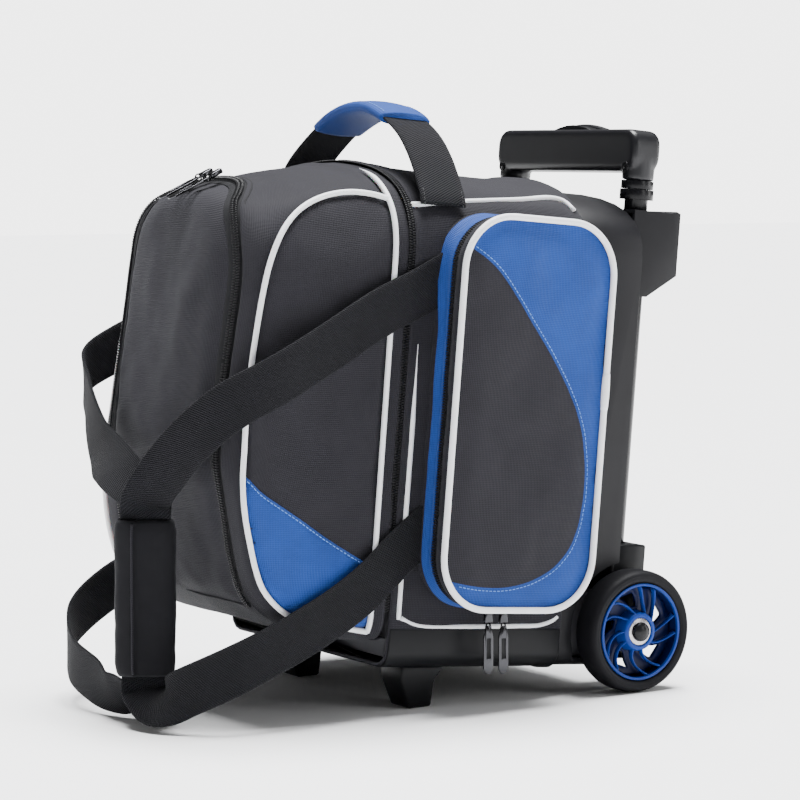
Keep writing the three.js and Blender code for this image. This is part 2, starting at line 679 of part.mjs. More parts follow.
const UP = [0, 0, 1];
const DOWN = [0, 0, -1];
const WRAP_SIDE = new THREE.Vector3(0.545, 0.839, 0); // along the wrap's width
const WRAP_FACE = new THREE.Vector3(0.839, -0.545, 0); // out of its face
const wrapPoint = (side, z, spread) => [
  WRAP.x + side * spread * WRAP.layer * WRAP_FACE.x,
  WRAP.y + side * spread * WRAP.layer * WRAP_FACE.y,
  z,
];
const wrapSide = (sign) => WRAP_SIDE.clone().multiplyScalar(sign).toArray();

// The straight stretch inside the wrap, on its outer (1) or inner (-1) layer. The straps part
// again just past its ends. A stop is its height and how far from the middle it lies, in layers.
function throughWrap(side) {
  const inside = [WRAP.top + 2, WRAP.top - 20, WRAP.bottom + 20, WRAP.bottom - 2].map((z) => [z, 1]);
  const stops = [[WRAP.top + 13, 1.6], ...inside, [WRAP.bottom - 11, 1.9]];
  return stops.map(([z, spread]) => ({ at: wrapPoint(side, z, spread), wide: wrapSide(-side) }));
}

const RIGHT_STRAP = [
  { at: [121.8, -199, 332], wide: UP },
  { at: [126, -240, 317], wide: UP },
  { at: [128, -290, 291], wide: UP },
  { at: [127, -335, 268], wide: UP },
  { at: [116, -368, 250], wide: [-0.15, -0.3, 1] },
  { at: [95, -385, 229], wide: [-0.3, -0.4, 0.85] },
  { at: [72, -395, 206], wide: [-0.45, -0.6, 0.6] },
  ...throughWrap(1),
  { at: [72, -406, 21], wide: [-0.4, -0.5, -0.7] },
  { at: [96, -396, 33], wide: DOWN },
  { at: [120, -369, 50], wide: DOWN },
  { at: [129, -315, 74], wide: DOWN },
  { at: [128, -262, 101], wide: DOWN },
  { at: [121.8, -214, 134], wide: DOWN },
];

const LEFT_STRAP = [
  { at: [-121.8, -199, 332], wide: UP },
  { at: [-126, -240, 317], wide: UP },
  { at: [-128, -290, 296], wide: UP },
  { at: [-127, -335, 279], wide: UP },
  { at: [-116, -370, 262], wide: [0.15, -0.1, 1] },
  { at: [-92, -381, 240], wide: [0.3, -0.1, 0.9] },
  { at: [-55, -391, 210], wide: [0.5, 0.1, 0.8] },
  { at: [2, -403, 192], wide: [0.55, 0.7, 0.4] },
  ...throughWrap(-1),
  { at: [6, -411, 20], wide: [0.5, 0.4, -0.6] },
  { at: [-25, -414, 27], wide: DOWN },
  { at: [-65, -412, 38], wide: DOWN },
  { at: [-105, -390, 58], wide: DOWN },
  { at: [-125, -345, 82], wide: DOWN },
  { at: [-128, -280, 106], wide: DOWN },
  { at: [-121.8, -214, 134], wide: DOWN },
];

function wrapSleeve() {
  const { width, depth, bottom, top, x, y } = WRAP;
  const outer = roundedRect(-width / 2, width / 2, -depth / 2, depth / 2, 6);
  const inner = roundedRect(2.2 - width / 2, width / 2 - 2.2, -5.6, 5.6, 1);
  const outside = solid(prism(outer, "z", bottom, top, 4));
  const sleeve = outside.subtract(solid(prism(inner, "z", bottom - 9, top + 9, 3)));
  const turn = Math.atan2(WRAP_SIDE.y, WRAP_SIDE.x);
  return shown(sleeve).rotateZ(turn).translate(x, y, 0);
}

add(ground, "strap_right", ribbon(RIGHT_STRAP, STRAP.width, STRAP.thickness, 56), "webbing");
add(ground, "strap_left", ribbon(LEFT_STRAP, STRAP.width, STRAP.thickness, 60), "webbing");
add(ground, "strap_wrap", wrapSleeve(), "black_fabric");

// ---- Top carry handle --------------------------------------------------------------------------
const alongY = [0, 1, 0];
const ARCH = [[96.5, 410], [85, 427], [67, 443], [43, 454], [0, 459]];

// The webbing's arch, or with some room round it, the space that it runs through.
function carryWebbing(room = 0) {
  const half = ARCH.map(([x, z]) => ({ at: [x, CARRY.y, z], wide: alongY }));
  const other = ARCH.slice(0, -1).map(([x, z]) => ({ at: [-x, CARRY.y, z], wide: alongY }));
  const { width, thickness } = CARRY;
  return ribbon([...half, ...other.reverse()], width + 2 * room, thickness + 2 * room, 28);
}

function carryTab() {
  const stops = [[114.5, 372], [111.5, 386], [104, 398.5], [97.3, 408.6]];
  const placed = stops.map(([x, z]) => ({ at: [x, CARRY.y, z], wide: alongY }));
  return ribbon(placed, CARRY.width, CARRY.thickness, 8);
}

// The padded grip folds round the webbing, so it is a sleeve along the middle of the arch.
function carryGrip() {
  const { y, width, gripHalf, gripTop, gripSag } = CARRY;
  const stops = [];
  const spans = 8;
  for (let i = 0; i <= spans; i++) {
    const along = 1 - (2 * i) / spans;
    stops.push({ at: [gripHalf * along, y, gripTop - gripSag * along ** 2], wide: alongY });
  }
  const padding = { width: 7, thickness: 6 };
  const outside = ribbon(stops, width + padding.width, CARRY.thickness + padding.thickness, 10);
  return shown(solid(outside).subtract(solid(carryWebbing(GAP))));
}

add(bag, "carry_webbing", carryWebbing(), "webbing");
add(bag, "carry_grip", carryGrip(), "blue_fabric");
add(bag, "carry_tab_right", carryTab(), "webbing");
add(bag, "carry_tab_left", mirrored(carryTab()), "webbing");

export default object;
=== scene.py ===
"""The looks of a one-ball roller bag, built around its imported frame.

Shapes are worked out in millimetres in the bag's own upright frame, where the wheel axle is at
y = 0, and place() takes them to the row frame in metres, where the bag leans back on its wheels.
"""
import json
import math

import bpy
import numpy as np
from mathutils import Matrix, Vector, noise
from mathutils.bvhtree import BVHTree
from mathutils.geometry import delaunay_2d_cdt
from mathutils.kdtree import KDTree


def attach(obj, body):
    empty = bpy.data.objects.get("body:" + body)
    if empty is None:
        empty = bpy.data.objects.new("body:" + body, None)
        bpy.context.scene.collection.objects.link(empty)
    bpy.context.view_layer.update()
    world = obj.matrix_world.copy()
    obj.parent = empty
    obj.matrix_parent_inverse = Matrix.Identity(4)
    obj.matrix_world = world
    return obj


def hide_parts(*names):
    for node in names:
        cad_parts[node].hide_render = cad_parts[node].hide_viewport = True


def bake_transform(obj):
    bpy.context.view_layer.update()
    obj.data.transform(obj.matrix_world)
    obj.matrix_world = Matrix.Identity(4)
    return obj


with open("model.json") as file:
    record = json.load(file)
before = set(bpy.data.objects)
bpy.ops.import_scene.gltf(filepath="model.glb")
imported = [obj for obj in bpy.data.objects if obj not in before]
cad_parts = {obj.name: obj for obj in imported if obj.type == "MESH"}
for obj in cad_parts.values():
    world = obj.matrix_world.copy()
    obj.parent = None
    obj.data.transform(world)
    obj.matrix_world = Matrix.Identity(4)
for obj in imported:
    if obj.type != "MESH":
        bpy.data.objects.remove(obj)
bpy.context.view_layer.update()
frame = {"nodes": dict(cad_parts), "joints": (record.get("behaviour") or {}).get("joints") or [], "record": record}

# ---- Frames ------------------------------------------------------------------------------------
MM = 0.001
JOINTS = {joint["name"]: joint for joint in frame["joints"]}
BAG_UP = Vector(JOINTS["handle_stage_one_slide"]["axis"])
LEAN = math.atan2(BAG_UP.y, BAG_UP.z)
AXLE = np.array(JOINTS["wheel_right_spin"]["pos_m"]) / MM
SIDES = (("right", 1), ("left", -1))
FORWARD = np.array([0, -1.0, 0])


def place(points):
    """Millimetres in the bag's frame to metres in the row frame."""
    x, y, z = np.asarray(points, float).reshape(-1, 3).T
    up = z - AXLE[2]
    turned = y * math.cos(LEAN) + up * math.sin(LEAN) + AXLE[1]
    raised = up * math.cos(LEAN) - y * math.sin(LEAN) + AXLE[2]
    return np.stack([x, turned, raised], 1) * MM


def bag_points(row_points):
    """Metres in the row frame to millimetres in the bag's frame."""
    x, y, z = (np.asarray(row_points, float).reshape(-1, 3) / MM).T
    y, up = y - AXLE[1], z - AXLE[2]
    turned = y * math.cos(LEAN) - up * math.sin(LEAN)
    raised = y * math.sin(LEAN) + up * math.cos(LEAN) + AXLE[2]
    return np.stack([x, turned, raised], 1)


def upright(points):
    """Millimetres upright over the floor, with the axle at y = 0, to the bag's frame."""
    x, y, z = np.asarray(points, float).reshape(-1, 3).T
    return bag_points(np.stack([x, y + AXLE[1], z], 1) * MM)


def bag_box(node):
    """Lowest and highest corner of a CAD node, in the bag's frame."""
    points = bag_points([v.co for v in frame["nodes"][node].data.vertices])
    return points.min(0), points.max(0)


MAIN_LOW, MAIN_HIGH = bag_box("main_shell")
POCKET_LOW, POCKET_HIGH = bag_box("pocket_flap_right")
ZIP_PLANE = (bag_box("main_zip_bag")[0][1] + bag_box("main_zip_door")[1][1]) / 2

# ---- Driving dimensions ------------------------------------------------------------------------
PIPING = 2.2  # radius
CLOTH, THIN_CLOTH = 2.2, 1.8
ZIP_HALF = 86.0  # the front zip's line, from the middle
ARCH_Z = 300.0  # where the front zip starts to arch over
ARCH_TOP = 390.5
DOOR_TOP_Y = -305.0  # the front zip stays in front of this
ZIP_ROOM = 5.2  # from the front zip's middle to the cloth beside it
PANEL_BOTTOM = 63.0
FOLD_Z = 250.0

# Rings of the door from the zip to the front: y, half width, half width at the shoulder, bottom, top.
DOOR_RINGS = [
    (ZIP_PLANE - 2.1, 120, 119, 38, 411),
    (-270, 121, 118, 42, 410),
    (-310, 121, 115, 48, 401),
    (-330, 121, 112.5, 57, 394),
    (-345, 120.5, 109, 70, 388),
    (-357, 118, 103, 97, 382.5),
    (-365, 113, 94, 127, 378),
    (-371, 104, 81, 149, 371),
    (-376, 92, 68, 164, 360),
    (-381, 69, 48, 178, 333),
    (-385, 42, 28, 192, 290),
    (-386, 4, 4, 221, 229),
]


# ---- Curves ------------------------------------------------------------------------------------
def unit(vectors):
    """The same directions, each one long."""
    return vectors / np.maximum(np.linalg.norm(vectors, axis=-1, keepdims=True), 1e-9)


def through(points, at):
    """A centripetal Catmull-Rom curve through the points, at places counted in points."""
    p = np.asarray(points, float)
    p = np.vstack([2 * p[0] - p[1], p, 2 * p[-1] - p[-2]])
    i = np.clip(np.floor(at).astype(int), 0, len(p) - 4)
    t = (at - i)[:, None]
    a, b, c, d = p[i], p[i + 1], p[i + 2], p[i + 3]
    gap = lambda u, v: np.maximum(np.linalg.norm(v - u, axis=1, keepdims=True) ** 0.5, 1e-4)
    before, here, after = gap(a, b), gap(b, c), gap(c, d)
    m1 = ((b - a) / before - (c - a) / (before + here) + (c - b) / here) * here
    m2 = ((c - b) / here - (d - b) / (here + after) + (d - c) / after) * here
    k2 = -3 * b + 3 * c - 2 * m1 - m2
    k3 = 2 * b - 2 * c + m1 + m2
    return b + m1 * t + k2 * t**2 + k3 * t**3


def lengths(line):
    """How far along a line each of its points is."""
    return np.concatenate([[0], np.cumsum(np.linalg.norm(np.diff(line, axis=0), axis=1))])


def even(line, step=None, count=None):
    """The same line with its points evenly spaced."""
    line = np.asarray(line, float)
    run = lengths(line)
    count = count or max(int(round(run[-1] / step)), 2) + 1
    at = np.linspace(0, run[-1], count)
    return np.stack([np.interp(at, run, line[:, k]) for k in range(line.shape[1])], 1)


def smooth_line(points, step):
    """Evenly spaced points on a smooth curve through the given ones."""
    fine = through(points, np.linspace(0, len(points) - 1, 20 * len(points)))
    return even(fine, step)


def tangents(line, closed=False):
    """The direction of a line at each of its points."""
    if closed:
        return unit(np.roll(line, -1, 0) - np.roll(line, 1, 0))
    return unit(np.gradient(line, axis=0))


def averaged(vectors, reach=3):
    """Unit vectors along a line, each averaged with its neighbours."""
    padded = np.pad(vectors, ((reach, reach), (0, 0)), mode="edge")
    total = sum(padded[i : i + len(vectors)] for i in range(2 * reach + 1))
    return unit(total)


def at_y(flat, y):
    """(x, z) points stood up in the plane at one y."""
    return np.stack([flat[:, 0], np.full(len(flat), y), flat[:, 1]], 1)


def arc(centre, radius, start, end, count):
    """Points of a circular arc, angles in degrees."""
    angle = np.radians(np.linspace(start, end, count))
    return np.stack([centre[0] + radius * np.cos(angle), centre[1] + radius * np.sin(angle)], 1)


def rounded_loop(a0, a1, b0, b1, radius, step=4):
    """A rectangle with round corners, anticlockwise from the middle of its lower side."""
    r = radius
    corners = [
        [((a0 + a1) / 2, b0)],
        arc((a1 - r, b0 + r), r, -90, 0, 12),
        arc((a1 - r, b1 - r), r, 0, 90, 12),
        arc((a0 + r, b1 - r), r, 90, 180, 12),
        arc((a0 + r, b0 + r), r, 180, 270, 12),
        [((a0 + a1) / 2, b0)],
    ]
    return even(np.vstack(corners), step)[:-1]


# ---- Meshes ------------------------------------------------------------------------------------
def linked(name, data):
    """A new object in the scene."""
    obj = bpy.data.objects.new(name, data)
    bpy.context.scene.collection.objects.link(obj)
    return obj


def mesh_object(name, points, faces, uvs=None):
    """Points in the bag's frame become a mesh in the row frame. uvs holds (u, v) in metres per corner."""
    mesh = bpy.data.meshes.new(name)
    mesh.from_pydata(place(points).tolist(), [], [list(f) for f in faces])
    if uvs is not None:
        layer = mesh.uv_layers.new(name="cloth")
        layer.data.foreach_set("uv", (np.asarray(uvs, float) * MM).ravel())
    mesh.polygons.foreach_set("use_smooth", [True] * len(mesh.polygons))
    mesh.update()
    return linked(name, mesh)


def turned(obj, away):
    """Flips a mesh whose faces look the wrong way. away is the way that they should look, one for all
    or one for each."""
    if (np.array([tuple(p.normal) for p in obj.data.polygons]) * away).sum() < 0:
        obj.data.flip_normals()
    return obj


def middles(obj):
    """The middles of a mesh's faces, in the bag's frame."""
    return bag_points([p.center for p in obj.data.polygons])


def flat_cloth(name, spots, flat, faces, away):
    """A sheet whose weave follows the flat pattern that it was cut from."""
    return turned(mesh_object(name, spots, faces, [flat[i] for f in faces for i in f]), away)


def quads(rows, cols, around=False, along=False):
    """The faces between rows of points."""
    index = np.arange(rows * cols).reshape(rows, cols)
    right, up = np.roll(index, -1, 1), np.roll(index, -1, 0)
    both = np.roll(right, -1, 0)
    faces = np.stack([index, right, both, up], 2)
    faces = faces[: rows if along else rows - 1, : cols if around else cols - 1]
    return [tuple(face) for face in faces.reshape(-1, 4).tolist()]


def skin(name, grid, around=False, along=False, caps=False):
    """A surface through rows of points. around joins each row's ends, along joins the last row to
    the first, and caps closes the two end rows."""
    grid = np.asarray(grid, float)
    rows, cols, _ = grid.shape
    u = np.cumsum(np.linalg.norm(np.diff(grid, axis=1, append=grid[:, :1]), axis=2), axis=1).mean(0)
    v = np.cumsum(np.linalg.norm(np.diff(grid, axis=0, append=grid[:1]), axis=2), axis=0).mean(1)
    u, v = np.concatenate([[0], u]), np.concatenate([[0], v])
    faces, uvs = quads(rows, cols, around, along), []
    for first, *_ in faces:
        r, c = divmod(first, cols)
        uvs += [(u[c], v[r]), (u[c + 1], v[r]), (u[c + 1], v[r + 1]), (u[c], v[r + 1])]
    if caps:
        first, last = list(range(cols))[::-1], list(range((rows - 1) * cols, rows * cols))
        for face in (first, last):
            faces.append(face)
            uvs += [(u[i % cols], 0) for i in face]
    return mesh_object(name, grid.reshape(-1, 3), faces, uvs)


def divided(obj, chosen, names):
    """Cuts a mesh in two along its own edges: the chosen faces and the rest."""
    mesh = obj.data
    points = bag_points([v.co for v in mesh.vertices])
    uvs = np.zeros(len(mesh.loops) * 2)
    mesh.uv_layers["cloth"].data.foreach_get("uv", uvs)
    uvs = uvs.reshape(-1, 2) / MM
    made = []
    for name, side in zip(names, (True, False)):
        faces = [p for p, c in zip(mesh.polygons, chosen) if bool(c) == side]
        used = sorted({v for f in faces for v in f.vertices})
        index = {old: new for new, old in enumerate(used)}
        part_uvs = [uvs[i] for f in faces for i in f.loop_indices]
        part = mesh_object(name, points[used], [[index[v] for v in f.vertices] for f in faces], part_uvs)
        whole = part.data.attributes.new("whole_normal", "FLOAT_VECTOR", "POINT")
        whole.data.foreach_set("vector", np.array([tuple(mesh.vertices[i].normal) for i in used]).ravel())
        made.append(part)
    bpy.data.objects.remove(obj)
    return made


def disc(radius, sides=12):
    """A round profile for sweep()."""
    angle = np.linspace(0, 2 * math.pi, sides, endpoint=False)
    return np.stack([np.cos(angle), np.sin(angle)], 1) * radius


def slab(width, thickness, count=10, swell=0.0):
    """A flat profile with round edges. swell thickens its middle."""
    x = np.linspace(-1, 1, count)
    half = thickness / 2 + swell * (1 - x**2)
    top = np.stack([x * (width / 2 - thickness / 3), half], 1)
    edge = np.array([(width / 2, thickness / 5), (width / 2, -thickness / 5)])
    return np.vstack([top, edge, (top * (1, -1))[::-1], edge[::-1] * (-1, 1)])[::-1]


def path_axes(line, normals, closed=False):
    """The directions along a line, across it and out of its surface."""
    along = tangents(line, closed)
    across = unit(np.cross(along, normals))
    return along, across, np.cross(across, along)


def sweep(name, line, normals, profile, closed=False, scale=None):
    """A profile of (across, out) points carried along a line."""
    _, across, out = path_axes(line, normals, closed)
    size = np.ones(len(line)) if scale is None else np.asarray(scale)
    grid = line[:, None] + size[:, None, None] * (
        profile[None, :, :1] * across[:, None] + profile[None, :, 1:] * out[:, None]
    )
    return skin(name, grid, around=True, along=closed, caps=not closed)


def scatter(name, origins, axes, points, faces):
    """Many copies of one small shape, as one mesh. axes holds each copy's three directions."""
    points = np.asarray(points, float)
    made = origins[:, None] + np.einsum("pk,nkd->npd", points, axes)
    count = len(points)
    all_faces = [[i * count + v for v in f] for i in range(len(origins)) for f in faces]
    return mesh_object(name, made.reshape(-1, 3), all_faces)


def pill(length, width, height, sides=6):
    """A small rounded bar along its first axis."""
    ring = disc(0.5, sides) * (width, height)
    stations = [(-0.5, 0.35), (-0.4, 1), (0.4, 1), (0.5, 0.35)]
    points = [(x * length, a * s, b * s) for x, s in stations for a, b in ring]
    ends = [list(range(sides))[::-1], list(range(3 * sides, 4 * sides))]
    return points, quads(4, sides, around=True) + ends


def inside(loop, points):
    """Which points lie inside a closed loop, both in the same plane."""
    x, y = points[:, 0, None], points[:, 1, None]
    a, b = loop, np.roll(loop, -1, 0)
    crosses = (a[:, 1] > y) != (b[:, 1] > y)
    rise = np.where(b[:, 1] == a[:, 1], 1e-12, b[:, 1] - a[:, 1])
    left = x < (b[:, 0] - a[:, 0]) * (y - a[:, 1]) / rise + a[:, 0]
    return (crosses & left).sum(1) % 2 == 1


def distance_to(line, points):
    """How far each point is from an open line."""
    start, edge = line[:-1], np.diff(line, axis=0)
    t = ((points[:, None] - start) * edge).sum(2) / np.maximum((edge**2).sum(1), 1e-12)
    nearest = start + np.clip(t, 0, 1)[..., None] * edge
    return np.linalg.norm(points[:, None] - nearest, axis=2).min(1)


def depth_inside(loop, points):
    """How far inside a closed loop each point lies; negative outside."""
    distance = distance_to(np.vstack([loop, loop[:1]]), points)
    return np.where(inside(loop, points), distance, -distance)


def filled(loop, step, holes=(), cuts=()):
    """Points and triangles that fill a flat loop, outside its holes, with edges along its cuts."""
    lo, hi = loop.min(0), loop.max(0)
    a, b = np.meshgrid(np.arange(lo[0], hi[0], step), np.arange(lo[1], hi[1], step))
    a = a + (np.arange(len(a)) % 2)[:, None] * step / 2
    field = np.stack([a.ravel(), b.ravel()], 1)
    keep = depth_inside(loop, field) > step * 0.6
    for hole in holes:
        keep &= depth_inside(hole, field) < -step * 0.6
    for cut in cuts:
        keep &= distance_to(cut, field) > step * 0.6
    loops = [loop, *holes]
    edges, start = [], 0
    for ring in loops:
        n = len(ring)
        edges += [(start + i, start + (i + 1) % n) for i in range(n)]
        start += n
    for cut in cuts:
        edges += [(start + i, start + i + 1) for i in range(len(cut) - 1)]
        start += len(cut)
    points = np.vstack([*loops, *cuts, field[keep]])
    verts, _, faces, *_ = delaunay_2d_cdt([Vector(p) for p in points], edges, [], 0, 1e-5)
    flat = np.array([tuple(v) for v in verts])
    centres = np.array([flat[list(f)].mean(0) for f in faces])
    good = inside(loop, centres)
    for hole in holes:
        good &= ~inside(hole, centres)
    faces = [list(f) for f, g in zip(faces, good) if g]
    used = sorted({i for f in faces for i in f})
    index = {old: new for new, old in enumerate(used)}
    return flat[used], [[index[i] for i in f] for f in faces]


# ---- Surfaces that panels, seams and zips are laid on --------------------------------------------
class Surface:
    """A tube of points, closed at its last row, that lines can be laid on."""

    def __init__(self, grid):
        rows, cols, _ = grid.shape
        self.grid = grid
        faces = quads(rows, cols, around=True) + [tuple(range((rows - 1) * cols, rows * cols))]
        self.tree = BVHTree.FromPolygons(grid.reshape(-1, 3).tolist(), faces)

    @classmethod
    def of(cls, obj):
        """The surface of a finished piece."""
        made = cls.__new__(cls)
        points = bag_points([v.co for v in obj.data.vertices])
        made.tree = BVHTree.FromPolygons(points.tolist(), [tuple(p.vertices) for p in obj.data.polygons])
        return made

    def cast(self, points, direction):
        """Points carried along a direction until they meet the surface, and its normals there."""
        way = Vector(direction).normalized()
        hits = [self.tree.ray_cast(Vector(p) - way * 400, way) for p in points]
        return self._read(hits, points)

    def lay(self, points):
        """The nearest places of the surface to the points, and its normals there."""
        return self._read([self.tree.find_nearest(Vector(p)) for p in points], points)

    def _read(self, hits, points):
        spots = [h[0] if h[0] is not None else Vector(p) for h, p in zip(hits, points)]
        facing = [h[1] if h[1] is not None else Vector((0, -1, 0)) for h in hits]
        return np.array([tuple(s) for s in spots]), np.array([tuple(n) for n in facing])


def outward(normals, away):
    """Normals turned to point the way they should."""
    return normals * np.sign((normals * away).sum(1, keepdims=True) + 1e-9)


def section(half, top_half, bottom, shoulder, crown, foot, count):
    """Evenly spaced (x, z) points round a cross-section, from the middle of its floor by +X."""
    t = np.linspace(0, 1, 24)[:, None]
    corner = [np.array(p, float) for p in ((half - foot, bottom), (half, bottom), (half, bottom + foot))]
    low = (1 - t) ** 2 * corner[0] + 2 * t * (1 - t) * corner[1] + t**2 * corner[2]
    rise = crown - shoulder
    shoulder_end, shoulder_pull = (top_half, shoulder), (top_half, shoulder + rise * 0.62)
    crown_pull, crown_end = (top_half * 0.76, crown - 1), (0, crown)
    p = [np.array(q, float) for q in (shoulder_end, shoulder_pull, crown_pull, crown_end)]
    high = (1 - t) ** 3 * p[0] + 3 * t * (1 - t) ** 2 * p[1] + 3 * t**2 * (1 - t) * p[2] + t**3 * p[3]
    right = even(np.vstack([[(0, bottom)], low, high]), count=count // 2 + 1)
    left = (right * (-1, 1))[::-1]
    return np.vstack([right, left[1:-1]])


def ruffle(points, normals, amount, size, seed):
    """Small soft unevenness: points moved along their normals by smooth noise."""
    shift = Vector((seed * 17.3, seed * 5.1, seed * 11.7))
    heights = [noise.fractal(Vector(p) / size + shift, 0.8, 2.0, 3) for p in points]
    return points + normals * (np.array(heights) * amount)[:, None]


def grid_normals(grid):
    """The normals of a tube of points, outwards."""
    across = np.roll(grid, -1, 1) - np.roll(grid, 1, 1)
    normals = unit(np.cross(across, np.gradient(grid, axis=0)))
    middle = grid.reshape(-1, 3).mean(0)
    side = np.sign((normals * (grid - middle)).sum(2).mean())
    return normals * (side if side else 1)


def tree_of(points):
    """A tree that finds the nearest of the points."""
    tree = KDTree(len(points))
    for i, p in enumerate(points):
        tree.insert(Vector(p), i)
    tree.balance()
    return tree


def pinched(grid, normals, seam, depth, width):
    """Draws a surface in along a seam."""
    tree = tree_of(seam)
    away = np.array([tree.find(Vector(p))[2] for p in grid.reshape(-1, 3)]).reshape(grid.shape[:-1])
    return grid - normals * (depth * np.exp(-((away / width) ** 2)))[..., None]


def near_seam(points, seam, reach):
    """Indices of the points that lie within reach of a seam."""
    tree = tree_of(seam)
    return [i for i, p in enumerate(points) if tree.find(Vector(p))[2] < reach]


def averaged_field(vectors, flat, reach):
    """Unit vectors over an area, each averaged with those near it."""
    spots = np.column_stack([flat, np.zeros(len(flat))])
    tree = tree_of(spots)
    near = [[i for _, i, _ in tree.find_range(Vector(p), reach)] for p in spots]
    return unit(np.array([vectors[found].mean(0) for found in near]))


# ---- Cloth ---------------------------------------------------------------------------------------
CREASE_SOFTENING = 12  # rounds of averaging that turn sharp creases into soft ones
SETTLING_FRAMES = 16


def billow(obj, pins, room, push, cap):
    """Lets a cloth panel settle between its pinned points, cut larger by a share of room and blown out
    by push. No point moves further than cap."""
    group = obj.vertex_groups.new(name="pinned")
    group.add([int(i) for i in pins], 1.0, "REPLACE")
    cloth = obj.modifiers.new("cloth", "CLOTH")
    settings = cloth.settings
    settings.vertex_group_mass = "pinned"
    settings.quality = 4
    settings.mass = 0.3
    settings.tension_stiffness = settings.compression_stiffness = 20
    settings.shear_stiffness = 8
    settings.bending_stiffness = 0.6
    settings.air_damping = 3
    settings.shrink_min = -room
    settings.use_pressure = True
    settings.uniform_pressure_force = push
    settings.effector_weights.gravity = 0.15
    cloth.point_cache.frame_start = 1
    cloth.point_cache.frame_end = SETTLING_FRAMES
    scene = bpy.context.scene
    for number in range(1, SETTLING_FRAMES + 1):
        scene.frame_set(number)
    settled = obj.evaluated_get(bpy.context.evaluated_depsgraph_get()).data
    count = len(obj.data.vertices)
    before, after = np.zeros(count * 3), np.zeros(count * 3)
    obj.data.vertices.foreach_get("co", before)
    settled.vertices.foreach_get("co", after)
    moved = (after - before).reshape(-1, 3)
    far = np.linalg.norm(moved, axis=1, keepdims=True)
    moved *= np.tanh(far / (cap * MM)) * cap * MM / np.maximum(far, 1e-9)
    a, b = np.array([edge.vertices[:] for edge in obj.data.edges]).T
    shared = np.maximum(np.bincount(np.concatenate([a, b]), minlength=count), 1)[:, None]
    for _ in range(CREASE_SOFTENING):
        around = np.zeros_like(moved)
        np.add.at(around, a, moved[b])
        np.add.at(around, b, moved[a])
        moved = 0.4 * moved + 0.6 * around / shared
        moved[list(pins)] = 0
    obj.modifiers.remove(cloth)
    obj.vertex_groups.clear()
    obj.data.vertices.foreach_set("co", before + moved.ravel())
    obj.data.update()
    scene.frame_set(1)


def applied(obj):
    """Applies an object's modifiers to its mesh."""
    bpy.context.view_layer.update()
    evaluated = obj.evaluated_get(bpy.context.evaluated_depsgraph_get())
    made = bpy.data.meshes.new_from_object(evaluated)
    obj.modifiers.clear()
    obj.data = made
    return obj


def thickened(obj, thickness, offset=-1.0):
    """Gives a sheet its thickness, inwards from its outer face."""
    solid = obj.modifiers.new("thickness", "SOLIDIFY")
    solid.thickness = thickness * MM
    solid.offset = offset
    solid.use_even_offset = False
    outer = len(obj.data.vertices)
    applied(obj)
    mesh = obj.data
    whole = mesh.attributes.get("whole_normal")
    if whole:
        facing = [(0, 0, 0)] * len(mesh.loops)
        for face in mesh.polygons:
            if max(face.vertices) < outer:
                for loop, vertex in zip(face.loop_indices, face.vertices):
                    facing[loop] = tuple(whole.data[vertex].vector)
        mesh.attributes.remove(whole)
        mesh.normals_split_custom_set(facing)
    return obj


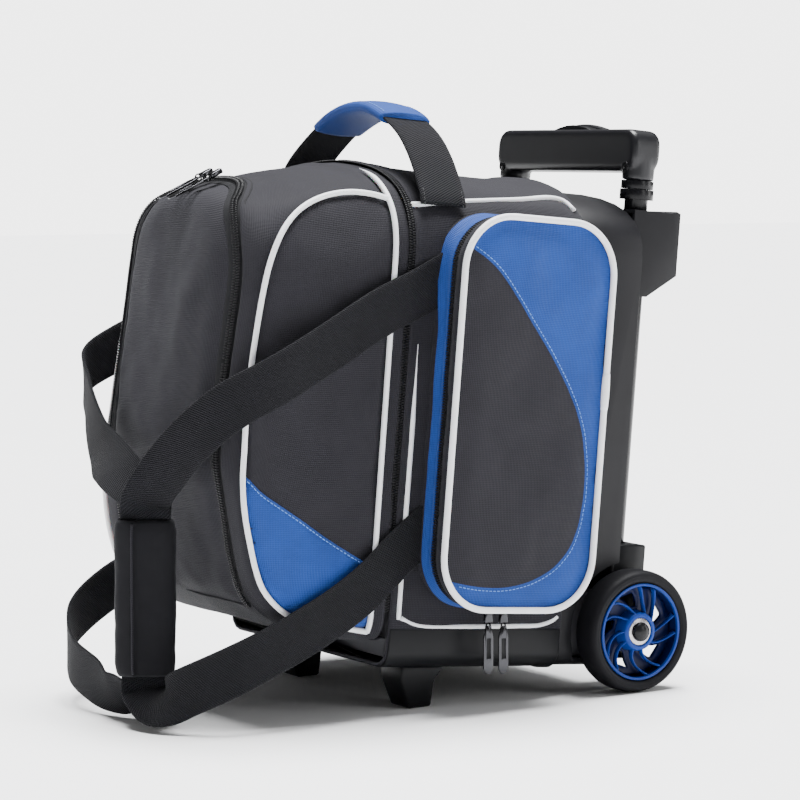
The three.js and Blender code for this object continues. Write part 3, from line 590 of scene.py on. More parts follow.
# ---- Materials -----------------------------------------------------------------------------------
class Nodes:
    """A short way to write a material's nodes. The values named are those of the shader's sockets."""

    def __init__(self, name, **sockets):
        self.material = bpy.data.materials.new(name)
        self.material.use_nodes = True
        self.tree = self.material.node_tree
        self.shader = self.tree.nodes["Principled BSDF"]
        for socket, value in sockets.items():
            self.shader.inputs[socket.replace("_", " ")].default_value = value

    def link(self, source, target):
        self.tree.links.new(source, target)

    def math(self, operation, a, b=None):
        node = self.tree.nodes.new("ShaderNodeMath")
        node.operation = operation
        for socket, value in zip(node.inputs, (a, b)):
            if isinstance(value, (int, float)):
                socket.default_value = value
            elif value is not None:
                self.link(value, socket)
        return node.outputs[0]

    def total(self, a, b, share=1.0):
        """a and a share of b."""
        return self.math("ADD", a, self.math("MULTIPLY", b, share))

    def wave(self, value, pitch):
        return self.math("SINE", self.math("MULTIPLY", value, 2 * math.pi / pitch))

    def cloth_place(self):
        """The (u, v) of the cloth in millimetres, as two values."""
        uv = self.tree.nodes.new("ShaderNodeUVMap")
        uv.uv_map = "cloth"
        split = self.tree.nodes.new("ShaderNodeSeparateXYZ")
        self.link(uv.outputs[0], split.inputs[0])
        return [self.math("MULTIPLY", split.outputs[i], 1 / MM) for i in (0, 1)]

    def noise(self, scale, detail, rough=0.55):
        node = self.tree.nodes.new("ShaderNodeTexNoise")
        node.inputs["Scale"].default_value = scale
        node.inputs["Detail"].default_value = detail
        node.inputs["Roughness"].default_value = rough
        self.link(self.tree.nodes.new("ShaderNodeTexCoord").outputs["Object"], node.inputs["Vector"])
        return node.outputs["Fac"]

    def ramp(self, value, stops):
        node = self.tree.nodes.new("ShaderNodeValToRGB")
        while len(node.color_ramp.elements) < len(stops):
            node.color_ramp.elements.new(0.5)
        for element, (at, color) in zip(node.color_ramp.elements, stops):
            element.position = at
            element.color = (*color, 1)
        self.link(value, node.inputs[0])
        return node.outputs[0]

    def shades(self, value, color, stops):
        """A ramp of one colour, given as (place, brightness)."""
        return self.ramp(value, [(at, tuple(min(1.0, c * amount) for c in color)) for at, amount in stops])

    def mask(self, value, low, high, most):
        """Black below low, and as light as most above high."""
        return self.ramp(value, [(low, (0, 0, 0)), (high, (most, most, most))])

    def mix(self, factor, a, b):
        node = self.tree.nodes.new("ShaderNodeMix")
        node.data_type = "RGBA"
        self.link(factor, node.inputs["Factor"])
        self.link(a, node.inputs["A"])
        self.link(b, node.inputs["B"])
        return node.outputs["Result"]

    def bump(self, height, depth, strength=1.0):
        node = self.tree.nodes.new("ShaderNodeBump")
        node.inputs["Distance"].default_value = depth * MM
        node.inputs["Strength"].default_value = strength
        self.link(height, node.inputs["Height"])
        last = self.shader.inputs["Normal"].links
        if last:
            self.link(last[0].from_socket, node.inputs["Normal"])
        self.link(node.outputs[0], self.shader.inputs["Normal"])

    def color(self, value):
        self.link(value, self.shader.inputs["Base Color"])

    def rough(self, value, low, high):
        spread = self.tree.nodes.new("ShaderNodeMapRange")
        spread.inputs["To Min"].default_value = low
        spread.inputs["To Max"].default_value = high
        self.link(value, spread.inputs["Value"])
        self.link(spread.outputs[0], self.shader.inputs["Roughness"])


def woven(name, color, pitch, depth, contrast=0.35, sheen=0.05, rough=(0.62, 0.85)):
    """Twill: yarns over and under each other, with a diagonal rib and uneven dye. Its colour has painted shade,
    darker in the gaps between yarns and lighter on the raised yarns.
    """
    m = Nodes(name, Sheen_Weight=sheen, Sheen_Roughness=0.4, Specular_IOR_Level=0.14)
    m.shader.inputs["Sheen Tint"].default_value = (0.94, 0.96, 1, 1)
    u, v = m.cloth_place()
    warp, weft = (m.wave(m.math(way, u, v), pitch * math.sqrt(2)) for way in ("ADD", "SUBTRACT"))
    height = m.total(1.0, m.math("MULTIPLY", warp, weft), 0.5)
    broad = m.noise(26, 4, 0.6)
    # painted shade: both ramps colour the weave's gaps darker and its raised yarns lighter, by the bump's height
    shade = m.shades(height, color, [(0.0, 1 - contrast), (0.75, 1), (1.0, 1 + contrast)])
    worn = m.shades(height, color, [(0.0, 1.1 - contrast), (1.0, 1.45 + contrast)])
    m.color(m.mix(m.mask(broad, 0.4, 0.75, 0.6), shade, worn))
    m.rough(broad, *rough)
    m.bump(height, depth)
    m.bump(m.noise(2600, 2), 0.05, 0.5)
    m.bump(m.noise(240, 3), 0.22, 0.4)
    return m.material


def ribbed(name, color):
    """Webbing: slanting ribs across its width and fine yarns along it, with painted shade: darker in the
    grooves between ribs and lighter on their tops.
    """
    m = Nodes(name, Sheen_Weight=0.03, Sheen_Roughness=0.4, Specular_IOR_Level=0.1)
    u, v = m.cloth_place()
    rib, yarn = m.wave(m.total(v, u, 0.55), 1.9), m.wave(m.total(u, v, -0.2), 1.5)
    height = m.total(m.total(1.0, yarn, 0.16), rib, 0.35)
    broad = m.noise(40, 3)
    # painted shade: both ramps colour the grooves darker and the rib tops lighter, by the bump's height
    dark = m.shades(height, color, [(0.1, 0.45), (0.9, 1.7)])
    light = m.shades(height, color, [(0.1, 0.6), (0.9, 2.3)])
    m.color(m.mix(m.mask(broad, 0.35, 0.75, 0.8), dark, light))
    m.rough(broad, 0.6, 0.8)
    m.bump(height, 0.9)
    m.bump(m.noise(2400, 2), 0.06, 0.5)
    return m.material


def moulded(name, color, rough, grain=0.05, size=1400, spec=0.16):
    """Moulded plastic with a fine spark-eroded grain and faint handling marks."""
    m = Nodes(name, Specular_IOR_Level=spec)
    broad = m.noise(18, 4, 0.6)
    m.color(m.shades(broad, color, [(0.3, 0.85), (0.7, 1.2)]))
    m.rough(m.noise(90, 5, 0.65), *rough)
    m.bump(m.noise(size, 2), grain, 0.6)
    m.bump(m.noise(60, 2), 0.12, 0.25)
    return m.material


def plated(name, color, rough):
    """Metal with fine scratches."""
    m = Nodes(name, Metallic=1.0)
    m.color(m.shades(m.noise(160, 4), color, [(0.3, 0.8), (0.7, 1)]))
    m.rough(m.noise(420, 6, 0.7), *rough)
    m.bump(m.noise(900, 4), 0.02, 0.4)
    return m.material


def tread_rubber(name, color):
    """Matt rubber, unevenly worn."""
    m = Nodes(name, Specular_IOR_Level=0.12)
    m.color(m.shades(m.noise(35, 5), color, [(0.3, 0.8), (0.75, 1.6)]))
    m.rough(m.noise(120, 4), 0.5, 0.68)
    m.bump(m.noise(1500, 3), 0.07, 0.7)
    return m.material


def corded(name, color):
    """Piping: a smooth vinyl skin over a twisted cord."""
    m = Nodes(name, Specular_IOR_Level=0.4, Subsurface_Weight=0.05)
    u, v = m.cloth_place()
    broad = m.noise(70, 4)
    m.color(m.shades(broad, color, [(0.3, 0.93), (0.7, 1)]))
    m.rough(broad, 0.42, 0.6)
    m.bump(m.wave(m.total(v, u, 0.6), 2.4), 0.07, 0.7)
    m.bump(m.noise(900, 2), 0.04, 0.5)
    return m.material


def stage_white(name, color):
    """The floor's paint."""
    m = Nodes(name, Roughness=0.85)
    m.color(m.shades(m.noise(3, 2), color, [(0.3, 0.985), (0.7, 1)]))
    return m.material


BLACK = (0.0104, 0.0100, 0.0126)
BLUE = (0.0085, 0.034, 0.160)
# How each paint is made: by which function, its name, its colour, and what differs from the usual.
RECIPES = [
    (woven, "black_fabric", BLACK, {"pitch": 2.0, "depth": 0.4, "contrast": 0.75}),
    (
        woven, "blue_fabric", BLUE,
        {"pitch": 2.0, "depth": 0.4, "contrast": 0.5, "sheen": 0.06, "rough": (0.5, 0.7)},
    ),
    (woven, "wrap_fabric", (0.0045, 0.0045, 0.0058), {"pitch": 1.2, "depth": 0.2}),
    (ribbed, "webbing", (0.0048, 0.0048, 0.0060), {}),
    (moulded, "shell_plastic", (0.0065, 0.0064, 0.0078), {"rough": (0.4, 0.54), "grain": 0.07, "size": 1100}),
    (moulded, "plastic", (0.0030, 0.0032, 0.0042), {"rough": (0.34, 0.47)}),
    (moulded, "tube", (0.004, 0.004, 0.005), {"rough": (0.2, 0.32), "grain": 0.01}),
    (woven, "zip", (0.005, 0.005, 0.006), {"pitch": 0.7, "depth": 0.12, "contrast": 0.3}),
    (moulded, "zip_teeth", (0.009, 0.009, 0.010), {"rough": (0.34, 0.48), "grain": 0.02}),
    # painted light: a lighter copy of the black plastic, for the light that the grip and its hood catch on top
    (moulded, "grip_plastic", (0.0068, 0.0068, 0.0085), {"rough": (0.3, 0.42), "spec": 0.3}),
    (plated, "bearing_steel", (0.42, 0.40, 0.41), {"rough": (0.2, 0.34)}),
    (plated, "metal", (0.05, 0.05, 0.054), {"rough": (0.14, 0.26)}),
    (moulded, "axle_steel", (0.008, 0.008, 0.009), {"rough": (0.2, 0.3), "grain": 0.01}),
    (tread_rubber, "rubber", (0.0042, 0.0042, 0.0055), {}),
    (moulded, "rim", (0.004, 0.030, 0.20), {"rough": (0.24, 0.36), "grain": 0.015}),
    # a much darker copy of the rim's blue: painted shade for the recessed web and the barrel
    (moulded, "rim_web", (0.002, 0.005, 0.036), {"rough": (0.3, 0.45), "grain": 0.015}),
    (woven, "foam", (0.05, 0.05, 0.055), {"pitch": 1.6, "depth": 0.2}),
    (corded, "white_piping", (0.83, 0.82, 0.84), {}),
    (corded, "blue_thread", (0.11, 0.26, 0.68), {}),
    (corded, "black_thread", (0.04, 0.04, 0.043), {}),
]
PAINT = {name: make(name, color, **rest) for make, name, color, rest in RECIPES}


def finished(obj, paint, body=None, replaces=()):
    """Gives a piece its material, and the body that it rides on."""
    obj.data.materials.clear()
    obj.data.materials.append(PAINT[paint])
    if body:
        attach(obj, body)
    if replaces:
        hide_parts(*replaces)
    return obj


def paint_frame():
    """Every CAD node that stays in view gets its slot's material."""
    slots = {part["node"]: part["material_slot"] for part in frame["record"]["subparts"]}
    for name, node in frame["nodes"].items():
        node.data.materials.clear()
        node.data.materials.append(PAINT[slots[name]])


paint_frame()


# ---- Trim ----------------------------------------------------------------------------------------
def piping(name, line, normals, body, closed=False, radius=PIPING, size=None):
    """White corded piping, half sunk in its seam."""
    sunk = line + normals * radius * 0.45
    return finished(sweep(name, sunk, normals, disc(radius, 12), closed, size), "white_piping", body)


STITCH_PITCH, TOOTH_PITCH = 3.6, 2.1


def spaced(line, normals, pitch, closed=False):
    """Places at an even pitch along a line, and the normals there."""
    run = even(np.vstack([line, line[:1]]) if closed else line, pitch)[:-1]
    return run, np.array([normals[np.argmin(((line - p) ** 2).sum(1))] for p in run])


def stitches(name, line, normals, body, paint="black_thread", lift=0.1):
    """A run of short stitches lying on the cloth."""
    run, run_normals = spaced(line, normals, STITCH_PITCH)
    axes = path_axes(run, run_normals)
    thread = pill(STITCH_PITCH * 0.72, 0.75, 0.5)
    return finished(scatter(name, run + axes[2] * lift, np.stack(axes, 1), *thread), paint, body)


def zip_teeth(name, line, normals, body, side, closed=False):
    """The row of coil teeth on one side of a zip, 1 or -1."""
    run, run_normals = spaced(line, normals, TOOTH_PITCH, closed)
    along, across, out = path_axes(run, averaged(run_normals))
    slant = unit(across + along * 0.12 * side)
    origins = run + side * across * 1.6 + along * TOOTH_PITCH * 0.25 * side + out * 0.5
    axes = np.stack([slant, np.cross(out, slant), out], 1)
    return finished(scatter(name, origins, axes, *pill(3.5, 1.55, 1.5)), "zip_teeth", body)


def tape(name, line, normals, body, width, closed=False):
    """A zip's woven tape, under its teeth."""
    middle = line - path_axes(line, normals, closed)[2] * 0.5
    return finished(sweep(name, middle, normals, slab(width, 0.9, 4), closed), "zip", body)


# ---- Ball compartment ----------------------------------------------------------------------------
PERIMETER = 200  # points round a cross-section


def main_ring(raised=0, foot=14):
    """The compartment's cross-section in (x, z)."""
    half = MAIN_HIGH[0]
    return section(half, half, MAIN_LOW[2] + raised, 340, MAIN_HIGH[2], foot, PERIMETER)


MAIN = Surface(np.array([at_y(main_ring(), y) for y in np.linspace(MAIN_LOW[1], MAIN_HIGH[1], 44)]))
SIDE_TOP_SEAM = [(-231, 379), (-180, 385), (-120, 391), (-84, 395), (-74, 393), (-70, 386)]
SIDE_LOW_SEAM = [(-221, 58), (-205, 52.5), (-160, 51.5), (-110, 52), (-86, 53), (-72, 58), (-66, 64)]
FRONT_SEAM_Y = -223.0
PIPED_TO = 272.0  # the compartment's front piping ends here, on each side


def side_seam(route, sign):
    """A seam given by its (y, z) on one side of the compartment."""
    line = smooth_line([(sign * 100, y, z) for y, z in route], 3.0)
    spots, normals = MAIN.cast(line, (-sign, 0, 0))
    return spots, averaged(outward(normals, (sign, 0, 0.4)))


def ring_seam(y, low):
    """A seam round the compartment at one y, from low on one side over the top to the other."""
    ring = main_ring()
    line = at_y(ring[ring[:, 1] > low], y)
    return line, unit(np.cross(tangents(line), FORWARD))


def main_shell():
    """The compartment's cloth, held at its ends, its seams, its foot and behind the side pockets."""
    grid = MAIN.grid
    normals = grid_normals(grid)
    seams = [side_seam(SIDE_TOP_SEAM, sign)[0] for _, sign in SIDES]
    seams.append(ring_seam(FRONT_SEAM_Y, 60)[0])
    for seam in seams:
        grid = pinched(grid, normals, seam, 1.4, 6)
    flat = ruffle(grid.reshape(-1, 3), normals.reshape(-1, 3), 0.9, 55, 1)
    obj = skin("compartment_cloth", flat.reshape(grid.shape), around=True)
    rows, cols, _ = grid.shape
    held = near_seam(flat, np.vstack(seams), 4.5)
    held += [i for i in range(rows * cols) if i < cols or i >= (rows - 1) * cols or flat[i, 2] < 54]
    behind_pocket = (flat[:, 1] < -60) & (flat[:, 1] > -210) & (abs(flat[:, 0]) > 110) & (flat[:, 2] < 372)
    billow(obj, sorted(set(held) | set(np.nonzero(behind_pocket)[0])), 0.009, 0.5, 4)
    finished(thickened(obj, CLOTH), "black_fabric", "bag", ["main_shell"])


def compartment_piping(side, sign):
    """The short piping low on the compartment's front edge, thinning out upwards."""
    line = smooth_line([(sign * 150, FRONT_SEAM_Y, z) for z in (57, 120, 200, PIPED_TO)], 3.0)
    spots, normals = MAIN.lay(line)
    thinning = np.clip((PIPED_TO - line[:, 2]) / 60, 0.15, 1)
    normals = outward(normals, (sign, 0, 0))
    piping(f"compartment_piping_{side}", spots, normals, "bag", size=thinning)


main_shell()
for side, sign in SIDES:
    piping(f"top_piping_{side}", *side_seam(SIDE_TOP_SEAM, sign), "bag")
    piping(f"low_piping_{side}", *side_seam(SIDE_LOW_SEAM, sign), "bag")
for side, sign in SIDES:
    compartment_piping(side, sign)
stitches("compartment_stitches", *ring_seam(FRONT_SEAM_Y + 5, 57), "bag")


# ---- Front door ----------------------------------------------------------------------------------
def door_grid():
    """Rows of the door from its zip to its front."""
    rows = []
    for y, half, top_half, bottom, crown in smooth_line(DOOR_RINGS, 4.5):
        shoulder = crown - (crown - bottom) * 0.2
        ring = section(half, top_half, bottom, shoulder, crown, min(22, half * 0.6), PERIMETER)
        rows.append(at_y(ring, y))
    return np.array(rows)


DOOR = Surface(door_grid())
IN_FRONT = -400.0  # a y in front of the door


def front_arch():
    """The front zip's line on the door, up one side, over in an arch and down the other."""
    angle = np.linspace(0, math.pi, 30)
    x = np.sign(np.cos(angle)) * abs(np.cos(angle)) ** 0.8 * ZIP_HALF
    z = ARCH_Z + (ARCH_TOP - ARCH_Z) * np.sin(angle) ** 0.8
    line = np.vstack([[(ZIP_HALF, PANEL_BOTTOM)], np.stack([x, z], 1), [(-ZIP_HALF, PANEL_BOTTOM)]])
    spots, normals = DOOR.cast(at_y(even(line, 3.0), IN_FRONT), (0, 1, 0))
    return spots, averaged(outward(normals, (0, -1.0, 0.2)), 4)


ZIP_LINE, ZIP_NORMALS = front_arch()


def beside_zip(room):
    """The (x, z) outline that keeps its distance from the front zip along the cloth, inside the zip
    where room is negative."""
    across = unit(np.cross(tangents(ZIP_LINE), ZIP_NORMALS))
    return even((ZIP_LINE + across * room)[:, [0, 2]], 3.0)


FRONT_PIPING = [
    (118, -250, 47), (121, -290, 52), (121, -328, 60), (121, -350, 78), (119, -362, 105), (116, -369, 150),
    (113, -370, 210), (110, -364, 275), (108, -350, 340), (105, -325, 378), (102, -299, 389),
    (102, -272, 389), (105.6, -249.2, 384),
]
REAR_PIPING_Y = -248.0
REAR_PIPED_FROM = 58.0  # the rear piping shows outside this, from the middle


def front_piping_line(sign):
    """The piping round the door's front edge on one side, with its normals."""
    line = smooth_line([(sign * x, y, z) for x, y, z in FRONT_PIPING], 3.0)
    spots = DOOR.lay(line)[0]
    spots = smooth_line(np.vstack([spots[:-1:6], spots[-1:]]), 3.0)
    return spots, averaged(outward(DOOR.lay(spots)[1], (sign, -0.6, 0.3)), 5)


def rear_piping_line():
    """The piping round the door's rear edge, with its normals."""
    row = DOOR.grid[np.argmin(abs(DOOR.grid[:, 0, 1] - REAR_PIPING_Y))]
    line = even(row[row[:, 2] > 46], 3.0)
    return line, unit(np.cross(tangents(line), FORWARD))


DOOR_SEAMS = [front_piping_line(sign)[0] for _, sign in SIDES] + [rear_piping_line()[0]]


def soft_door(grid_points, normals):
    """The door's surface with its zip in a groove and its seams drawn in."""
    made = pinched(grid_points, normals, ZIP_LINE, -1.6, 13)
    made = pinched(made, normals, ZIP_LINE, 3.4, 6)
    for seam in DOOR_SEAMS:
        made = pinched(made, normals, seam, 1.8, 6)
    return made


FAR_OUT = -50  # stands for a point that can't lie inside the front zip


def door_shell_grid(rows=66):
    """The door from its rear edge to the outer side of the front zip."""
    grid = DOOR.grid
    edge = beside_zip(ZIP_ROOM)
    columns = []
    for c in range(grid.shape[1]):
        column = grid[:, c]
        within = depth_inside(edge, column[:, [0, 2]])
        within[column[:, 1] > DOOR_TOP_Y] = FAR_OUT
        stop = int(np.argmax(within > 0))
        before, after = within[stop - 1], within[stop]
        share = before / (before - after) if before > FAR_OUT else 0.5
        end = column[stop - 1] + (column[stop] - column[stop - 1]) * share
        columns.append(even(np.vstack([column[:stop], end]), count=rows))
    return np.array(columns).transpose(1, 0, 2)


def door_shell():
    """The door's cloth outside its front zip."""
    grid = door_shell_grid()
    normals = grid_normals(grid)
    soft = soft_door(grid, normals)
    flat = ruffle(soft.reshape(-1, 3), normals.reshape(-1, 3), 1.0, 60, 2)
    obj = skin("door_cloth", flat.reshape(grid.shape), around=True)
    rows, cols, _ = grid.shape
    held = near_seam(flat, np.vstack([*DOOR_SEAMS, ZIP_LINE]), 5)
    ends = [i for i in range(rows * cols) if i < cols or i >= (rows - 1) * cols]
    billow(obj, sorted({*held, *ends}), 0.010, 0.7, 5)
    finished(thickened(obj, CLOTH), "black_fabric", "front_door", ["door_shell"])


def front_cloth():
    """The front inside its zip: one surface, cut at the fold into the lower panel and the flap."""
    loop = beside_zip(-ZIP_ROOM - 0.8)
    low_half = abs(loop[[0, -1], 0]).min()
    bottom = np.linspace(-1, 1, 40)[:, None] * [low_half, 0] + [0, PANEL_BOTTOM - 4]
    loop = np.vstack([loop, bottom])
    half = abs(loop[abs(loop[:, 1] - FOLD_Z) < 6, 0]).min()
    fold = np.linspace(-1, 1, 42)[:, None] * [half - 0.15, 0] + [0, FOLD_Z]
    flat, faces = filled(loop, 4.5, cuts=[fold])
    spots, normals = DOOR.cast(at_y(flat, IN_FRONT), (0, 1, 0))
    normals = outward(normals, (0, -1.0, 0.1))
    edge = depth_inside(loop, flat)
    lift = 3.0 * (1 - np.exp(-((np.maximum(edge, 0) / 10) ** 2))) - 1.8
    spots = ruffle(spots + normals * lift[:, None], normals, 1.5, 52, 3)
    obj = flat_cloth("front_cloth", spots, flat, faces, FORWARD)
    billow(obj, np.nonzero(edge < 4)[0].tolist(), 0.010, 0.6, 5)
    flap, panel = divided(obj, middles(obj)[:, 2] > FOLD_Z, ("front_flap_cloth", "front_panel_cloth"))
    finished(thickened(flap, CLOTH), "black_fabric", "front_flap", ["front_flap"])
    finished(thickened(panel, CLOTH), "black_fabric", "front_door", ["front_panel"])


def rear_piping(side, sign):
    """The piping shows at the side and thins out over the top, where the carry handle crosses it."""
    line, normals = rear_piping_line()
    beyond = line[:, 0] * sign - REAR_PIPED_FROM
    shown = beyond > 0
    size = np.clip(beyond[shown] / 22, 0.1, 1)
    piping(f"rear_piping_{side}", line[shown], normals[shown], "front_door", size=size)


def front_zip():
    """The arched zip. Its inner teeth go with the flap above the fold and with the panel below it."""
    line, normals = ZIP_LINE + ZIP_NORMALS * 0.2, ZIP_NORMALS
    outer = zip_teeth("front_zip_outer_teeth", line, normals, "front_door", 1)
    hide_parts("front_zip")
    tape("front_zip_tape", line - normals * 1.4, normals, "front_door", 19)
    first, last = np.nonzero(np.diff((line[:, 2] > FOLD_Z).astype(int)))[0] + 1
    for name, part, body in (
        ("flap_zip_teeth", slice(first, last), "front_flap"),
        ("panel_zip_teeth_right", slice(0, first), "front_door"),
        ("panel_zip_teeth_left", slice(last, None), "front_door"),
    ):
        zip_teeth(name, line[part], normals[part], body, -1)


door_shell()
front_cloth()
for side, sign in SIDES:
    piping(f"front_piping_{side}", *front_piping_line(sign), "front_door")
for side, sign in SIDES:
    rear_piping(side, sign)
front_zip()


def main_zip():
    """The zip that joins the door to the compartment, in two halves."""
    ring = main_ring(raised=8, foot=22)
    line = even(at_y(ring[ring[:, 1] > 60], ZIP_PLANE), 3.0)
    normals = unit(np.cross(tangents(line), FORWARD))
    raised = line + normals * 0.4
    door_side = zip_teeth("main_zip_door_teeth", raised, normals, "front_door", -1)
    bag_side = zip_teeth("main_zip_bag_teeth", raised, normals, "bag", 1)
    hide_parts("main_zip_door")
    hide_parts("main_zip_bag")


main_zip()


def hinge_cloth():
    """The cloth that joins the door's lower edge to the tray."""
    path = [(-226, 41), (-230, 41.5), (ZIP_PLANE, 40), (-239, 40), (-244, 41.5)]
    rows = [[(x, y, z) for x in np.linspace(-108, 108, 60)] for y, z in path]
    obj = thickened(skin("hinge_cloth", rows), 1.6, 0)
    finished(obj, "black_fabric")
    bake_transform(obj)


hinge_cloth()


# ---- Corner patches of the door ------------------------------------------------------------------
PATCH_TOP = [(-364, 164), (-352, 153), (-335, 143), (-317, 133), (-296, 121), (-274, 109), (-252, 98)]
PATCH_LOW = [(-251, 50), (-290, 54.5), (-327, 61.5), (-343, 76), (-355.5, 104), (-363, 136)]


def corner_patch(side, sign):
    """A blue patch sewn over the lower front corner of the door's side, with soft folds."""
    cloth = Surface.of(bpy.data.objects["door_cloth"])
    top = smooth_line(np.array(PATCH_TOP, float), 4)
    loop = even(np.vstack([top, PATCH_LOW, top[:1]]), 4)[:-1]
    flat, faces = filled(loop, 3.6)
    spots, normals = cloth.cast([(sign * 100, y, z) for y, z in flat], (-sign, 0, 0))
    normals = averaged_field(outward(normals, (sign, 0, 0)), flat, 9)
    edge = np.clip(depth_inside(loop, flat) / 9, 0, 1)
    along = (flat[:, 0] * 0.62 - flat[:, 1] * 0.78) / 17
    folds = np.sin(along + 1.3 * np.sin(flat[:, 1] / 23)) * 0.9 + 0.5
    spots = ruffle(spots + normals * (1.0 + folds * edge)[:, None], normals, 0.5, 30, 6)
    obj = flat_cloth(f"corner_patch_{side}", spots, flat, faces, (sign, 0, 0))
    finished(thickened(obj, THIN_CLOTH), "blue_fabric", "front_door")
    line, out = cloth.cast([(sign * 100, y, z) for y, z in top], (-sign, 0, 0))
    out = averaged(outward(out, (sign, 0, 0)), 4)
    inner = line + out * 1.3 + (0, 0, -2.6)
    stitches(f"corner_patch_{side}_stitches", inner, out, "front_door", "blue_thread", lift=0.5)


for side, sign in SIDES:
    corner_patch(side, sign)

# ---- Side pockets --------------------------------------------------------------------------------
POCKET_CORNER = 42.0
POCKET_FACE = 155.5
POCKET_ZIP_X = (bag_box("pocket_gusset_right")[1][0] + POCKET_LOW[0]) / 2
POCKET_PIPING = 2.6
BLUE_FROM_Y = -150.0  # the gusset is blue in front of this and black behind
# The edge of the black drop on the pocket's face, from its top at the front to its bottom.
DROP = [
    (-216, 357), (-203, 350), (-178, 334), (-146, 299), (-118, 266), (-97, 235), (-84, 203), (-79, 168),
    (-81, 142), (-88, 122), (-102, 105), (-123, 93), (-149, 87), (-173, 87), (-200, 91), (-216, 95),
]


def pocket_loop(inset, step=3.6):
    """The pocket's outline in (y, z)."""
    low, high = POCKET_LOW[1:] + inset, POCKET_HIGH[1:] - inset
    return rounded_loop(low[0], high[0], low[1], high[1], POCKET_CORNER - inset, step)


def pocket_ring(sign, x, inset, step=3.6):
    """The pocket's outline at one x, with its normals pointing away from its middle."""
    flat = pocket_loop(inset, step)
    along = tangents(flat, True)
    out = np.stack([along[:, 1], -along[:, 0]], 1)
    line = np.column_stack([np.full(len(flat), sign * x), flat])
    return line, np.column_stack([np.zeros(len(flat)), out])


def wall_loft(name, sign, stations, chosen=None, start=None, end=None):
    """A wall that follows the pocket's outline through (x, inset) stations. start and end can give the x of
    its first and last station at each height."""
    count = len(pocket_loop(0))
    rings = [pocket_ring(sign, x, inset)[0] for x, inset in stations]
    grid = np.array([even(np.vstack([ring, ring[:1]]), count=count + 1)[:-1] for ring in rings])
    if chosen is not None:
        keep = [i for i in range(count) if chosen(grid[0, i])]
        breaks = np.nonzero(np.diff(keep) > 1)[0]
        if len(breaks):
            keep = keep[breaks[0] + 1 :] + keep[: breaks[0] + 1]
        grid = grid[:, keep]
    first, last = stations[0][0], stations[-1][0]
    share = (grid[..., 0] * sign - first) / (last - first)
    near = first if start is None else start(grid[..., 2])
    far = last if end is None else end(grid[..., 2])
    grid[..., 0] = sign * (near + (far - near) * share)
    middle = np.array([0, POCKET_LOW[1] + POCKET_HIGH[1], POCKET_LOW[2] + POCKET_HIGH[2]]) / 2
    away = (grid - middle) * (0, 1, 1)
    grid = ruffle(grid.reshape(-1, 3), unit(away.reshape(-1, 3)), 0.7, 34, 7).reshape(grid.shape)
    obj = skin(name, grid, around=chosen is None)
    return turned(obj, (middles(obj) - middle) * (0, 1, 1))


def pocket_face(side, sign):
    """The pocket's face: a black drop let into a blue panel."""
    loop = pocket_loop(1.6)
    drop = smooth_line(np.array(DROP, float), 3.2)
    drop = drop[depth_inside(loop, drop) > 0.4]
    flat, faces = filled(loop, 4.0, cuts=[drop])
    edge = depth_inside(loop, flat)
    seam = distance_to(drop, flat)
    dome = 2.6 * (1 - np.exp(-((np.maximum(edge, 0) / 13) ** 2))) - 0.4 * np.exp(-((seam / 7) ** 2))
    spots = np.column_stack([sign * (POCKET_FACE + dome - 1.2), flat])
    facing = np.tile([float(sign), 0, 0], (len(flat), 1))
    spots = ruffle(spots, facing, 1.3, 46, 8)
    obj = flat_cloth(f"pocket_{side}_face", spots, flat, faces, (sign, 0, 0))
    billow(obj, np.nonzero((edge < 3) | (seam < 2.5))[0].tolist(), 0.011, 0.6, 4)
    shape = np.vstack([drop, [(-230, 92), (-230, 355)]])
    names = (f"pocket_{side}_drop", f"pocket_{side}_panel")
    black, blue = divided(obj, inside(shape, middles(obj)[:, 1:]), names)
    surface = Surface.of(blue)
    body = f"pocket_door_{side}"
    finished(thickened(black, CLOTH), "black_fabric", body, [f"pocket_flap_{side}"])
    finished(thickened(blue, CLOTH), "blue_fabric", body)
    along = tangents(drop)
    beside = drop + np.stack([-along[:, 1], along[:, 0]], 1) * 2.4
    beside = beside[depth_inside(loop, beside) > 3]
    line, _ = surface.lay([(sign * POCKET_FACE, y, z) for y, z in beside])
    flat_normals = np.tile([float(sign), 0, 0], (len(line), 1))
    stitches(f"pocket_{side}_drop_stitches", line, flat_normals, body, "blue_thread", lift=0.35)


def blue_from(z):
    """The x at which the gusset's blue cloth starts: close to the bag at the top, further out below."""
    return MAIN_HIGH[0] + 1 + 8 * np.clip((345 - z) / 60, 0, 1)


# Stations of the pocket's walls: x and the inset from its outline.
ROOT_X = MAIN_HIGH[0]
GUSSET = [(ROOT_X, -2), (ROOT_X + 3, 0.5), (ROOT_X + 9, 1.8), (ROOT_X + 15, 1.2), (POCKET_ZIP_X - 3.6, 0.6)]
SKIRT = [(ROOT_X, -3), (ROOT_X + 4, -0.6), (ROOT_X + 9, 0.4), (ROOT_X + 12, 2.4)]
BAND = [
    (POCKET_ZIP_X + 3.6, 0.4), (POCKET_ZIP_X + 6, -0.9), (POCKET_FACE - 4, -1.0), (POCKET_FACE - 0.5, 0.8),
]


